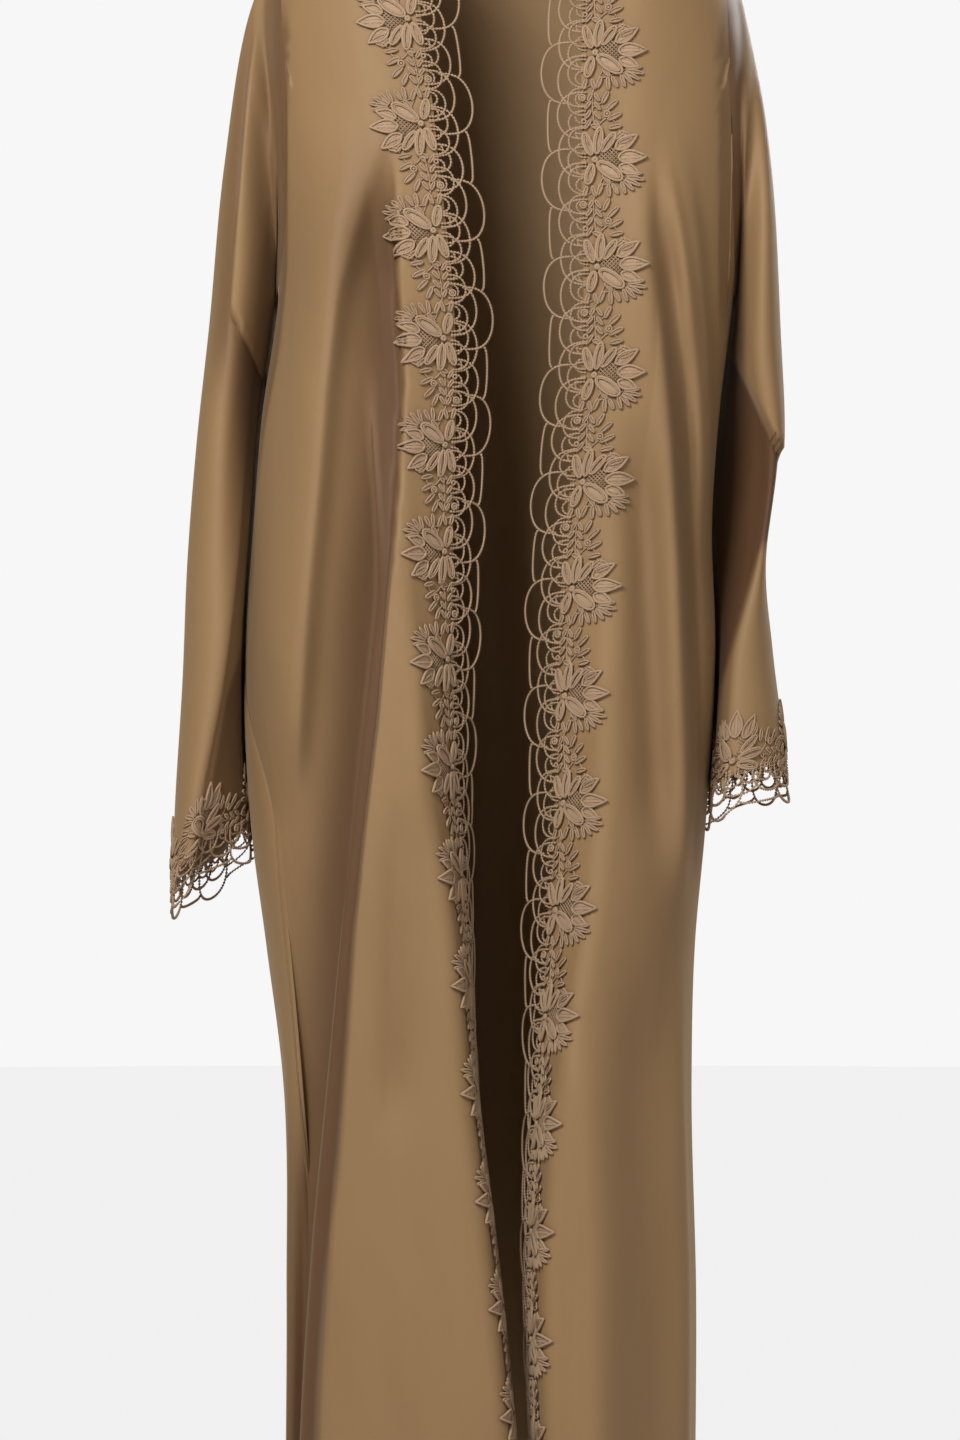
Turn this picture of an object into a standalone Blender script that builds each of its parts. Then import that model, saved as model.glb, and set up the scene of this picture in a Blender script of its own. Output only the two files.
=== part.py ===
"""Open-front abaya cloak, worn and hollow: the cut pieces as thin cloth walls.

Metres, +Z up, -Y is the front, +X is the wearer's left. The origin is midway between the two
side-neck points on the shoulder line. A drop is a distance below that line, and a plan angle
is 0 at the centre front, minus towards -X and plus towards +X.
"""
import math
from functools import partial

import bmesh
import bpy
import numpy as np
from mathutils import Vector

# Driving sizes
LENGTH = 1.43              # shoulder line to hem
CLOTH = 0.0015             # cloth wall
SEAM_GAP = 0.0004          # between the edges of two sewn pieces
ARMHOLE_GAP = 0.0014       # wider, because the two walls meet there at an angle
SEAM_EDGE = 0.4            # share of the wall left at the armhole's edges
NECK_HALF = 0.080          # side-neck point, from the centre
SHOULDER_HALF = 0.190      # dropped shoulder point, from the centre
SHOULDER_DROP = 0.055      # slope of the shoulder seam
SHOULDER_ROUND = 0.090     # drop in which the cloth rounds over the shoulder
BACK_NECK_DROP = 0.020     # depth of the back neckline
ARMHOLE_TOP = SHOULDER_DROP
ARMHOLE_FOOT = 0.360
ARMHOLE_SCOOP = math.radians(22)
FRONT_FLATNESS = 0.8       # under 1 the plan is flatter than an ellipse
FOLD_RADIUS = 0.17         # turns a plan angle into a distance along the cloth
SIDE_GAP_ANGLE = SEAM_GAP / 2 / 0.2       # half the side seam's gap, at that half width
START_DROP = 0.020         # where the shoulder's columns take their places across
SETTLE_DROP = 0.250        # drop in which a column joins the lines that the folds follow
ARMHOLE_LEAN = 0.6         # how far the armhole's edge leans outwards

# Lace: a flower band on the cloth, then open loops past its edge
BAND_ON_CLOTH = 0.057
LOOPS = 0.034
BAND_MARGIN = 0.008
EDGE_STRIP = BAND_ON_CLOTH + BAND_MARGIN
LACE_WALL = 0.0012
LACE_LIFT = 0.0008
CUFF_FRONT_LIFT = 0.0013   # more, because the cuff's front turns a sharp edge
CUFF_BACK_LIFT = 0.0007
LACE_REPEAT = 0.0925
CELLS = 4                  # lace cells in one repeat
CORD = 0.0022              # width left round each gap
PETAL = (0.0, 0.55, 0.9, 0.5)             # how far each cell's edge draws back between petals
LOOP_EDGE = (0.80, 0.96, 1.0, 0.88)       # how far each cell's loop reaches
CUFF_END = 0.02            # share of a cell left free where the cuff's two halves meet

# Plan of the body cloth at each drop: half widths, and depth in front and behind
SECTIONS = (
    ("drop", "half_neg", "half_pos", "front", "back"),
    (0.000, 0.186, 0.186, 0.118, 0.100),
    (0.055, 0.190, 0.190, 0.124, 0.106),
    (0.117, 0.203, 0.205, 0.130, 0.112),
    (0.220, 0.202, 0.214, 0.136, 0.118),
    (0.370, 0.197, 0.203, 0.138, 0.120),
    (0.480, 0.212, 0.190, 0.140, 0.124),
    (0.570, 0.219, 0.184, 0.142, 0.128),
    (0.680, 0.226, 0.187, 0.146, 0.134),
    (0.840, 0.220, 0.178, 0.152, 0.144),
    (0.940, 0.207, 0.169, 0.156, 0.150),
    (1.060, 0.192, 0.166, 0.160, 0.157),
    (1.250, 0.189, 0.170, 0.166, 0.165),
    (1.430, 0.190, 0.169, 0.170, 0.172),
)

# Lines that the columns of each front follow: the side seam's angle, two folds and the start
# of the edge strip as distances from the centre, then how far that strip turns in, and its bend
NEG_LINES = (
    ("drop", "side", "outer", "inner", "strip", "turn", "bend"),
    (0.000, 90, 0.165, 0.155, 0.145, 0, 0.060),
    (0.117, 90, 0.158, 0.147, 0.137, 0, 0.060),
    (0.244, 90, 0.139, 0.130, 0.121, 0, 0.060),
    (0.335, 90, 0.140, 0.122, 0.110, 8, 0.055),
    (0.492, 90, 0.155, 0.112, 0.098, 30, 0.030),
    (0.639, 90, 0.168, 0.104, 0.089, 44, 0.020),
    (0.700, 86, 0.176, 0.110, 0.084, 52, 0.018),
    (0.787, 67, 0.184, 0.119, 0.076, 62, 0.017),
    (0.927, 66, 0.170, 0.132, 0.057, 79, 0.016),
    (1.066, 68, 0.160, 0.142, 0.045, 86, 0.016),
    (1.205, 64, 0.163, 0.153, 0.027, 87, 0.016),
    (1.370, 64, 0.168, 0.162, 0.010, 86, 0.016),
    (1.430, 64, 0.169, 0.164, 0.006, 86, 0.016),
)
POS_LINES = (
    ("drop", "side", "outer", "inner", "strip", "turn", "bend"),
    (0.000, 90, 0.163, 0.153, 0.143, 0, 0.060),
    (0.117, 90, 0.153, 0.143, 0.133, 0, 0.060),
    (0.244, 90, 0.150, 0.141, 0.131, 0, 0.060),
    (0.335, 90, 0.162, 0.141, 0.131, 0, 0.060),
    (0.457, 90, 0.172, 0.141, 0.127, 10, 0.050),
    (0.535, 90, 0.173, 0.142, 0.120, 18, 0.040),
    (0.627, 90, 0.173, 0.146, 0.110, 28, 0.030),
    (0.718, 90, 0.174, 0.153, 0.100, 39, 0.022),
    (0.810, 90, 0.168, 0.154, 0.098, 41, 0.020),
    (0.905, 90, 0.160, 0.148, 0.088, 48, 0.018),
    (0.996, 90, 0.155, 0.140, 0.072, 62, 0.017),
    (1.074, 90, 0.152, 0.135, 0.060, 72, 0.016),
    (1.161, 90, 0.152, 0.130, 0.053, 76, 0.016),
    (1.430, 90, 0.152, 0.130, 0.052, 84, 0.016),
)
LINES = {-1: NEG_LINES, 1: POS_LINES}

# Folds of the body cloth. A line is a column of the tables above or a plan angle in degrees.
# An overlap over zero makes a flap, whose front side lies over its other side.
FOLDS = (
    ("side", "line", "lift", "wide_out", "wide_in", "overlap", "start", "full", "fade", "end"),
    (-1, "outer", 0.016, 0.045, 0.028, 0.000, 0.20, 0.36, 0.66, 0.84),
    (-1, "inner", 0.022, 0.018, 0.060, 0.007, 0.42, 0.62, 2.0, 3.0),
    (-1, 74, 0.004, 0.016, 0.014, 0.000, 0.95, 1.15, 2.0, 3.0),
    (1, "inner", 0.011, 0.022, 0.020, 0.000, 0.26, 0.42, 0.78, 0.94),
    (1, "outer", 0.007, 0.014, 0.020, 0.000, 0.20, 0.34, 0.48, 0.62),
    (1, 29, 0.007, 0.030, 0.034, 0.000, 0.84, 1.10, 2.0, 3.0),
    (1, 66, 0.005, 0.018, 0.022, 0.000, 0.90, 1.15, 2.0, 3.0),
    (-1, 120, 0.010, 0.026, 0.030, 0.000, 0.70, 1.05, 2.0, 3.0),
    (-1, 143, 0.012, 0.028, 0.024, 0.000, 0.34, 0.85, 2.0, 3.0),
    (-1, 168, 0.011, 0.030, 0.026, 0.000, 0.28, 0.90, 2.0, 3.0),
    (1, 166, 0.013, 0.028, 0.030, 0.000, 0.40, 0.98, 2.0, 3.0),
    (1, 139, 0.011, 0.024, 0.028, 0.000, 0.30, 0.80, 2.0, 3.0),
    (1, 114, 0.008, 0.024, 0.024, 0.000, 0.86, 1.12, 2.0, 3.0),
)

# Sleeves: the far and the body side of each ring, its foremost ridge, its middle and its depth,
# and how far its body side lies back, behind the side of the body
NEG_SLEEVE = (
    ("step", "out_x", "out_drop", "in_x", "in_drop", "ridge_x", "mid_y", "deep", "in_y"),
    (0.00, 0.190, 0.055, 0.197, 0.362, 0.195, 0.000, 0.057, 0.000),
    (0.10, 0.220, 0.117, 0.203, 0.386, 0.203, 0.001, 0.066, 0.022),
    (0.25, 0.244, 0.257, 0.205, 0.425, 0.210, 0.000, 0.070, 0.044),
    (0.40, 0.257, 0.396, 0.211, 0.480, 0.220, -0.002, 0.073, 0.054),
    (0.52, 0.268, 0.500, 0.217, 0.550, 0.226, -0.005, 0.076, 0.058),
    (0.64, 0.276, 0.605, 0.224, 0.625, 0.232, -0.008, 0.080, 0.060),
    (0.76, 0.280, 0.709, 0.226, 0.705, 0.242, -0.012, 0.084, 0.060),
    (0.88, 0.286, 0.813, 0.222, 0.775, 0.258, -0.016, 0.088, 0.060),
    (1.00, 0.288, 0.885, 0.219, 0.830, 0.268, -0.018, 0.090, 0.060),
)
POS_SLEEVE = (
    ("step", "out_x", "out_drop", "in_x", "in_drop", "ridge_x", "mid_y", "deep", "in_y"),
    (0.00, 0.190, 0.055, 0.203, 0.362, 0.200, 0.000, 0.057, 0.000),
    (0.10, 0.209, 0.117, 0.204, 0.386, 0.207, 0.001, 0.066, 0.022),
    (0.25, 0.231, 0.257, 0.202, 0.420, 0.212, 0.000, 0.070, 0.044),
    (0.40, 0.239, 0.396, 0.196, 0.470, 0.218, 0.000, 0.073, 0.054),
    (0.52, 0.241, 0.500, 0.186, 0.540, 0.230, 0.004, 0.074, 0.058),
    (0.64, 0.230, 0.600, 0.183, 0.612, 0.220, 0.004, 0.076, 0.060),
    (0.76, 0.236, 0.680, 0.181, 0.680, 0.202, -0.002, 0.080, 0.060),
    (0.88, 0.243, 0.740, 0.179, 0.752, 0.196, -0.008, 0.084, 0.060),
    (1.00, 0.247, 0.782, 0.178, 0.808, 0.194, -0.012, 0.088, 0.060),
)
SLEEVES = {-1: NEG_SLEEVE, 1: POS_SLEEVE}
SLEEVE_KEEP = 0.22         # part of the sleeve in which its ring leaves the armhole's shape
SLEEVE_POINT = 0.45        # how much the ring's front and back narrow
SIDE_CLEAR = 0.0060        # between a sleeve and the side of the body
SIDE_SOFT = 0.004
SIDE_START = 0.15          # part of the sleeve in which it comes clear

# The upper sleeve's cloth stands out over the lower sleeve's, above a slanted edge: its drop at
# a distance from the centre, and its slope. On the -X side it also ends along an upright rim.
UPPER_LIFT = {-1: 0.009, 1: 0.014}
UPPER_EDGE = {-1: (0.452, 0.207, -2.3), 1: (0.412, 0.199, 2.4)}
UPPER_RIM = (0.214, 0.100, 0.075)
UPPER_START = 0.100
UPPER_FULL = 0.220
UPPER_SOFT = 0.007

# Mesh counts
STRIP_COLUMNS = (0.0, 0.010, 0.024, 0.044, EDGE_STRIP)
ROUND_ANGLES = (0, 30, 60, 90)
ROWS = 29
SLEEVE_STEPS = (0.0, 0.05, 0.12, 0.20, 0.30, 0.40, 0.46, 0.52, 0.58, 0.66, 0.75, 0.85, 0.935, 0.967, 1.0)
SLEEVE_SIDES = 16

CLOTH_COLOUR = (0.30, 0.20, 0.125, 1.0)
LACE_COLOUR = (0.33, 0.235, 0.16, 1.0)


def read(table, name, at):
    """One named column of a table, on a smooth curve through its rows."""
    head = table[0]
    rows = np.array(table[1:], dtype=float)
    places = rows[:, 0]
    values = rows[:, head.index(name)]
    slopes = np.gradient(values, places)
    at = np.asarray(at, dtype=float)
    low = np.clip(np.searchsorted(places, at, side="right") - 1, 0, len(places) - 2)
    span = places[low + 1] - places[low]
    t = np.clip((at - places[low]) / span, 0.0, 1.0)
    start = (2 * t**3 - 3 * t**2 + 1) * values[low] + (t**3 - 2 * t**2 + t) * span * slopes[low]
    end = (3 * t**2 - 2 * t**3) * values[low + 1] + (t**3 - t**2) * span * slopes[low + 1]
    return start + end


def ease(t):
    """0 to 1 with flat ends."""
    t = np.clip(t, 0.0, 1.0)
    return t * t * (3 - 2 * t)


def seam_drop(x):
    """Drop of the shoulder seam at a distance from the centre."""
    along = (np.abs(x) - NECK_HALF) / (SHOULDER_HALF - NECK_HALF)
    return SHOULDER_DROP * np.clip(along, 0.0, 1.0)


def rounding(x, drop):
    """Share of the full depth that the cloth has reached below the shoulder seam."""
    left = 1.0 - np.clip((drop - seam_drop(x)) / SHOULDER_ROUND, 0.0, 1.0)
    return np.sqrt(1.0 - left * left)


def half_width(side, drop):
    return read(SECTIONS, "half_neg" if side < 0 else "half_pos", drop)


def outline(angle, drop):
    """Plan of the body cloth without folds."""
    half = np.where(np.sin(angle) < 0, half_width(-1, drop), half_width(1, drop))
    depth = np.where(np.cos(angle) > 0, -read(SECTIONS, "front", drop), read(SECTIONS, "back", drop))
    return half * np.sin(angle), depth * np.abs(np.cos(angle)) ** FRONT_FLATNESS


def line_angle(side, name, drop):
    """Plan angle of a named line of a front, or of a number of degrees."""
    if not isinstance(name, str):
        return side * np.radians(float(name)) * np.ones_like(np.asarray(drop, dtype=float))
    value = read(LINES[side], name, drop)
    if name == "side":
        return side * np.radians(value)
    return side * np.arcsin(value / half_width(side, drop))


def folds(angle, drop):
    """How far the folds lift the cloth, and shift it along itself towards the centre front."""
    lift = np.zeros_like(angle)
    shift = np.zeros_like(angle)
    for row in FOLDS[1:]:
        side, line, height, wide_out, wide_in, overlap, start, full, fade, end = row
        turn = angle - line_angle(side, line, drop)
        turn = (turn + math.pi) % (2 * math.pi) - math.pi
        away = -side * FOLD_RADIUS * turn
        power = ease((drop - start) / (full - start)) * (1 - ease((drop - fade) / (end - fade)))
        if overlap > 0:
            near = np.clip(away / wide_out, -1.0, 1.0)
            tail = np.exp(-(np.clip(away - wide_out, 0.0, None) / wide_in) ** 2)
            lift += power * height * ease((near + 1) / 2) * tail
            shift -= power * overlap * np.sin(math.pi * near) * (1 - near**2) * 4 / 3
        else:
            wide = np.where(away > 0, wide_in, wide_out)
            lift += power * height * np.exp(-(away / wide) ** 2)
    return lift, shift


def body(angle, drop):
    """Plan of the folded body cloth, before the shoulder rounds it over."""
    small = 0.002
    x, y = outline(angle, drop)
    ahead_x, ahead_y = outline(angle + small, drop)
    behind_x, behind_y = outline(angle - small, drop)
    along_x, along_y = ahead_x - behind_x, ahead_y - behind_y
    size = np.hypot(along_x, along_y)
    along_x, along_y = along_x / size, along_y / size
    lift, shift = folds(angle, drop)
    shift = np.where(np.sin(angle) < 0, shift, -shift)
    return x + along_y * lift + along_x * shift, y - along_x * lift + along_y * shift


def point(x, y, drop):
    return np.stack([x, y * rounding(x, drop), -drop], axis=-1)


def cloth(angle, drop):
    """A point of the body cloth."""
    x, y = body(angle, drop)
    return point(x, y, drop)


def edge_strip(side, along, drop):
    """A point of a front's edge strip, a distance past its start, which turns in lower down."""
    angle = line_angle(side, "strip", drop)
    x, y = body(angle, drop)
    ahead_x, ahead_y = outline(angle - side * 0.002, drop)
    flat_x, flat_y = outline(angle, drop)
    first = np.arctan2(ahead_y - flat_y, -side * (ahead_x - flat_x))
    last = np.radians(read(LINES[side], "turn", drop))
    bend = read(LINES[side], "bend", drop)
    curved = np.clip(np.minimum(along, bend * (last - first)), 0.0, None)
    now = first + curved / bend
    straight = along - curved
    x = x - side * (bend * (np.sin(now) - np.sin(first)) + straight * np.cos(now))
    y = y + bend * (np.cos(first) - np.cos(now)) + straight * np.sin(now)
    return point(x, y, drop)


def facing(surface, across, drop, flip=1):
    """Outward direction of a surface of two numbers, the second of them a drop."""
    small = 0.0008
    over = surface(across + small, drop) - surface(across - small, drop)
    down = surface(across, drop + small) - surface(across, drop - small)
    out = flip * np.cross(down, over)
    return out / np.linalg.norm(out, axis=-1, keepdims=True)


def armhole(side, turn):
    """A point of the armhole: a turn of 0 is its top, 90 its front, 180 its foot."""
    middle = (ARMHOLE_TOP + ARMHOLE_FOOT) / 2
    reach = (ARMHOLE_FOOT - ARMHOLE_TOP) / 2
    drop = middle - reach * np.cos(turn)
    angle = side * (math.pi / 2 - ARMHOLE_SCOOP * np.sin(turn))
    return angle, drop


def sleeve_ring(side, turn, step):
    """A point of a sleeve without folds or its join to the armhole."""
    table = SLEEVES[side]
    out_x, in_x = read(table, "out_x", step), read(table, "in_x", step)
    out_drop, in_drop = read(table, "out_drop", step), read(table, "in_drop", step)
    middle, half = (out_x + in_x) / 2, (out_x - in_x) / 2
    pull = (read(table, "ridge_x", step) - middle) * np.clip(np.sin(turn), 0, 1) ** 2
    level = (out_drop + in_drop) / 2 + (out_drop - in_drop) / 2 * np.cos(turn)
    narrow = np.abs(np.cos(turn)) ** (SLEEVE_POINT * ease(step / 0.5))
    x = side * (middle + half * np.cos(turn) * narrow + pull)
    back = read(table, "in_y", step) * (1 - np.cos(turn)) / 2
    y = read(table, "mid_y", step) + back - read(table, "deep", step) * np.sin(turn)
    return np.stack([x, y, -level], axis=-1)


def upper_fold(side, at, front):
    """How far the upper sleeve stands out over the lower one, above a slanted edge."""
    x, drop = np.abs(at[..., 0]), -at[..., 2]
    edge_drop, edge_x, slope = UPPER_EDGE[side]
    above = ease((edge_drop + slope * (x - edge_x) - drop) / (1.6 * UPPER_SOFT) + 0.5)
    begin = ease((drop - UPPER_START) / (UPPER_FULL - UPPER_START))
    inside = 1.0
    if side < 0:
        rim_x, rim_drop, rim_slope = UPPER_RIM
        inside = ease((rim_x + rim_slope * (drop - rim_drop) - x) / UPPER_SOFT + 0.5)
    return UPPER_LIFT[side] * above * begin * inside * front


def clear_of_body(side, at, step):
    """Moves a sleeve's points out past the side of the body, all but its first rings."""
    x, y, drop = side * at[..., 0], at[..., 1], -at[..., 2]
    depth = np.where(y < 0, read(SECTIONS, "front", drop), read(SECTIONS, "back", drop))
    lean = np.clip(np.abs(y) / depth, 0.0, 1.0) ** (1 / FRONT_FLATNESS)
    edge = half_width(side, drop) * np.sqrt(1 - lean**2) + SIDE_CLEAR
    kept = (x + edge + np.hypot(x - edge, SIDE_SOFT)) / 2
    at[..., 0] = side * (x + (kept - x) * ease(step / SIDE_START))
    return at


def sleeve(side, turn, step):
    """A point of a sleeve, which starts on the armhole."""
    ring = sleeve_ring(side, turn, step)
    first = sleeve_ring(side, turn, np.zeros_like(step))
    angle, drop = armhole(side, turn)
    fade = 1 - ease(step / SLEEVE_KEEP)
    at = ring + (cloth(angle, drop) - first) * fade[..., None]
    at = clear_of_body(side, at, step)
    away = ease(np.sin(turn) * 1.4 + 0.3) * ease(step / 0.08)
    at[..., 1] -= upper_fold(side, at, away) * np.clip(np.sin(turn), 0, 1)
    at[..., 0] += side * 0.3 * upper_fold(side, at, away) * np.clip(np.cos(turn), 0, 1)
    return at


def grid_facing(side, points):
    """Outward directions of a tube's grid of points, rows along it and columns round it."""
    over = np.roll(points, -1, axis=1) - np.roll(points, 1, axis=1)
    down = np.gradient(points, axis=0)
    out = side * np.cross(over, down)
    return out / np.linalg.norm(out, axis=-1, keepdims=True)


def armhole_facing(side, turn):
    """Outward direction shared at the armhole seam, short because its edge is trimmed thin."""
    out = np.stack([ARMHOLE_LEAN * side * np.ones_like(turn), -np.sin(turn), np.cos(turn)], axis=-1)
    return SEAM_EDGE * out / np.linalg.norm(out, axis=-1, keepdims=True)


def material(name, colour, roughness):
    made = bpy.data.materials.new(name)
    made.use_nodes = True
    shader = made.node_tree.nodes["Principled BSDF"]
    shader.inputs["Base Color"].default_value = colour
    shader.inputs["Roughness"].default_value = roughness
    shader.inputs["Metallic"].default_value = 0.0
    return made


def add_object(name, bm, colour, roughness):
    """Puts a finished mesh in the garment's collection with its own material."""
    bmesh.ops.recalc_face_normals(bm, faces=bm.faces)
    mesh = bpy.data.meshes.new(name)
    bm.to_mesh(mesh)
    bm.free()
    mesh.shade_smooth()
    made = bpy.data.objects.new(name, mesh)
    made.data.materials.append(material(name, colour, roughness))
    garment.objects.link(made)
    return made


def wall(name, outer, normals, closed=False):
    """A cloth wall: a loft through rows of points, and the same rows a cloth's thickness in."""
    inner = outer - CLOTH * normals
    rows, columns = outer.shape[:2]
    bm = bmesh.new()
    skins = [[[bm.verts.new(p) for p in row] for row in skin] for skin in (outer, inner)]
    spans = columns if closed else columns - 1
    for skin in skins:
        for r in range(rows - 1):
            for c in range(spans):
                d = (c + 1) % columns
                bm.faces.new((skin[r][c], skin[r][d], skin[r + 1][d], skin[r + 1][c]))
    out, into = skins
    for r in (0, rows - 1):
        for c in range(spans):
            d = (c + 1) % columns
            bm.faces.new((out[r][c], out[r][d], into[r][d], into[r][c]))
    if not closed:
        for c in (0, columns - 1):
            for r in range(rows - 1):
                bm.faces.new((out[r][c], out[r + 1][c], into[r + 1][c], into[r][c]))
    return add_object(name, bm, CLOTH_COLOUR, 0.55)


def row_drops(top, rows):
    """Drops of a column from its top: close together round the shoulder, then even."""
    near = [top + SHOULDER_ROUND * (1 - math.cos(math.radians(a))) for a in ROUND_ANGLES]
    rest = [near[-1] + (LENGTH - near[-1]) * k / rows for k in range(1, rows + 1)]
    return np.array(near + rest)


def settle(regular, top_angle, top_drop, drops):
    """Angles down a column that starts at its own place and joins the regular lines."""
    reach = 1 - ease((drops - top_drop) / SETTLE_DROP)
    return regular(drops) + (top_angle - regular(np.array([top_drop]))[0]) * reach


def front_angle(side, place, drop):
    """Angle between the named lines: 0 is the side seam, 1 and 2 the folds, 3 the strip."""
    marks = [line_angle(side, name, drop) for name in ("side", "outer", "inner", "strip")]
    low = min(int(place), 2)
    return marks[low] + (marks[low + 1] - marks[low]) * (place - low)


def front_piece(side, name):
    """One front, from its side seam to the edge under the lace; returns its edge strip too."""
    armhole_columns = ((0.0, 180), (0.2, 135), (0.4, 90), (0.6, 45), (0.8, 0))
    seam_columns = (1.0, 1.35, 1.7, 1.9, 2.1, 2.35, 2.7) if side < 0 else (1.0, 1.5, 2.0, 2.35, 2.7)
    points, normals = [], []
    for place, degrees in armhole_columns:
        turn = np.radians(float(degrees))
        top_angle, top_drop = armhole(side, turn)
        top_drop = float(top_drop)
        drops = row_drops(top_drop, ROWS)
        angles = settle(partial(front_angle, side, place), top_angle, top_drop, drops)
        if place == 0.0:
            angles = angles - side * SIDE_GAP_ANGLE
        points.append(cloth(angles, drops))
        out = facing(cloth, angles, drops)
        out[0] = armhole_facing(side, np.array([turn]))[0]
        normals.append(out)
    for place in seam_columns:
        start = front_angle(side, place, np.array([START_DROP]))
        top_drop = float(seam_drop(body(start, np.array([START_DROP]))[0])[0])
        drops = row_drops(top_drop, ROWS)
        angles = front_angle(side, place, drops)
        points.append(cloth(angles, drops))
        normals.append(facing(cloth, angles, drops))
    strip_points, strip_normals = [], []
    strip = partial(edge_strip, side)
    for along in STRIP_COLUMNS + (EDGE_STRIP + LOOPS / 2, EDGE_STRIP + LOOPS):
        start = strip(np.array([along]), np.array([START_DROP]))
        drops = row_drops(float(seam_drop(start[..., 0])[0]), ROWS)
        alongs = np.full_like(drops, along)
        strip_points.append(strip(alongs, drops))
        strip_normals.append(facing(strip, alongs, drops, -side))
    kept = len(STRIP_COLUMNS)
    points = np.array(points + strip_points[:kept]).transpose(1, 0, 2)
    normals = np.array(normals + strip_normals[:kept]).transpose(1, 0, 2)
    level_shoulder(points, normals, slice(len(armhole_columns), None), -1)
    points[0, len(armhole_columns) - 1, 1] = -SEAM_GAP / 2
    wall(name, points, normals)
    strip_points = np.array(strip_points).transpose(1, 0, 2)
    strip_normals = np.array(strip_normals).transpose(1, 0, 2)
    level_shoulder(strip_points, strip_normals, slice(None), -1)
    return strip_points, strip_normals


def level_shoulder(points, normals, columns, towards):
    """Lays the top row on the shoulder seam, half a seam gap to its own side."""
    points[0, columns, 1] = towards * SEAM_GAP / 2
    normals[0, columns] = (0.0, 0.0, 1.0)


def back_angle(share, drop):
    """Angle from the back centre, between one side seam (a share of 0) and the other (1)."""
    first = -(math.pi - np.abs(line_angle(-1, "side", drop)))
    last = math.pi - np.abs(line_angle(1, "side", drop))
    return first + (last - first) * share


def turned_round(angle):
    """A plan angle as one from the back centre, or the other way round."""
    return np.where(angle < 0, -math.pi - angle, math.pi - angle)


def back_piece():
    """The back, cut in one, between both side seams, armholes and shoulder seams."""
    turns = (180, 225, 270, 315, 360)
    tops = []
    for degrees in turns:
        angle, drop = armhole(-1, np.radians(float(degrees)))
        tops.append((float(angle), float(drop), np.radians(float(degrees)), -1))
    across = (-0.135, -NECK_HALF, -0.032, 0.032, NECK_HALF, 0.135)
    for x in across:
        side = -1 if x < 0 else 1
        lean = math.asin(abs(x) / float(half_width(side, START_DROP)))
        drop = float(seam_drop(x))
        if abs(x) < NECK_HALF:
            drop = BACK_NECK_DROP * (1 - (x / NECK_HALF) ** 2)
        tops.append((side * (math.pi - lean), drop, None, side))
    for degrees in reversed(turns):
        angle, drop = armhole(1, np.radians(float(degrees)))
        tops.append((float(angle), float(drop), np.radians(float(degrees)), 1))
    points, normals = [], []
    last = len(tops) - 1
    for index, (angle, drop, turn, side) in enumerate(tops):
        drops = row_drops(drop, ROWS)
        first = turned_round(np.array(angle))
        from_back = settle(partial(back_angle, index / last), first, drop, drops)
        if index == 0:
            from_back = from_back + SIDE_GAP_ANGLE
        if index == last:
            from_back = from_back - SIDE_GAP_ANGLE
        angles = turned_round(from_back)
        points.append(cloth(angles, drops))
        out = facing(cloth, angles, drops)
        if turn is not None:
            out[0] = armhole_facing(side, np.array([turn]))[0]
        normals.append(out)
    points = np.array(points).transpose(1, 0, 2)
    normals = np.array(normals).transpose(1, 0, 2)
    on_seam = [i for i, top in enumerate(tops)
               if top[2] is None and abs(points[0, i, 0]) > 0.9 * NECK_HALF]
    level_shoulder(points, normals, on_seam, 1)
    points[0, (len(turns) - 1, last + 1 - len(turns)), 1] = SEAM_GAP / 2
    wall("back", points, normals)


def sleeve_piece(side, name):
    """One sleeve, a tube from the armhole to the cuff; returns its lowest rows for the lace."""
    turns = np.radians(np.arange(SLEEVE_SIDES) * 360 / SLEEVE_SIDES)
    steps = np.array(SLEEVE_STEPS)
    turn_grid, step_grid = np.meshgrid(turns, steps)
    points = sleeve(side, turn_grid, step_grid)
    normals = grid_facing(side, points)
    normals[0] = armhole_facing(side, turns)
    points[0, :, 0] += side * ARMHOLE_GAP
    wall(name, points, normals, closed=True)
    hem_way = points[-1] - points[-2]
    hem_way /= np.linalg.norm(hem_way, axis=-1, keepdims=True)
    band_points = list(points[-3:]) + [points[-1] + hem_way * LOOPS * k for k in (0.5, 1.0)]
    band_normals = list(normals[-3:]) + [normals[-1]] * 2
    return np.array(band_points).transpose(1, 0, 2), np.array(band_normals).transpose(1, 0, 2)


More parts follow.
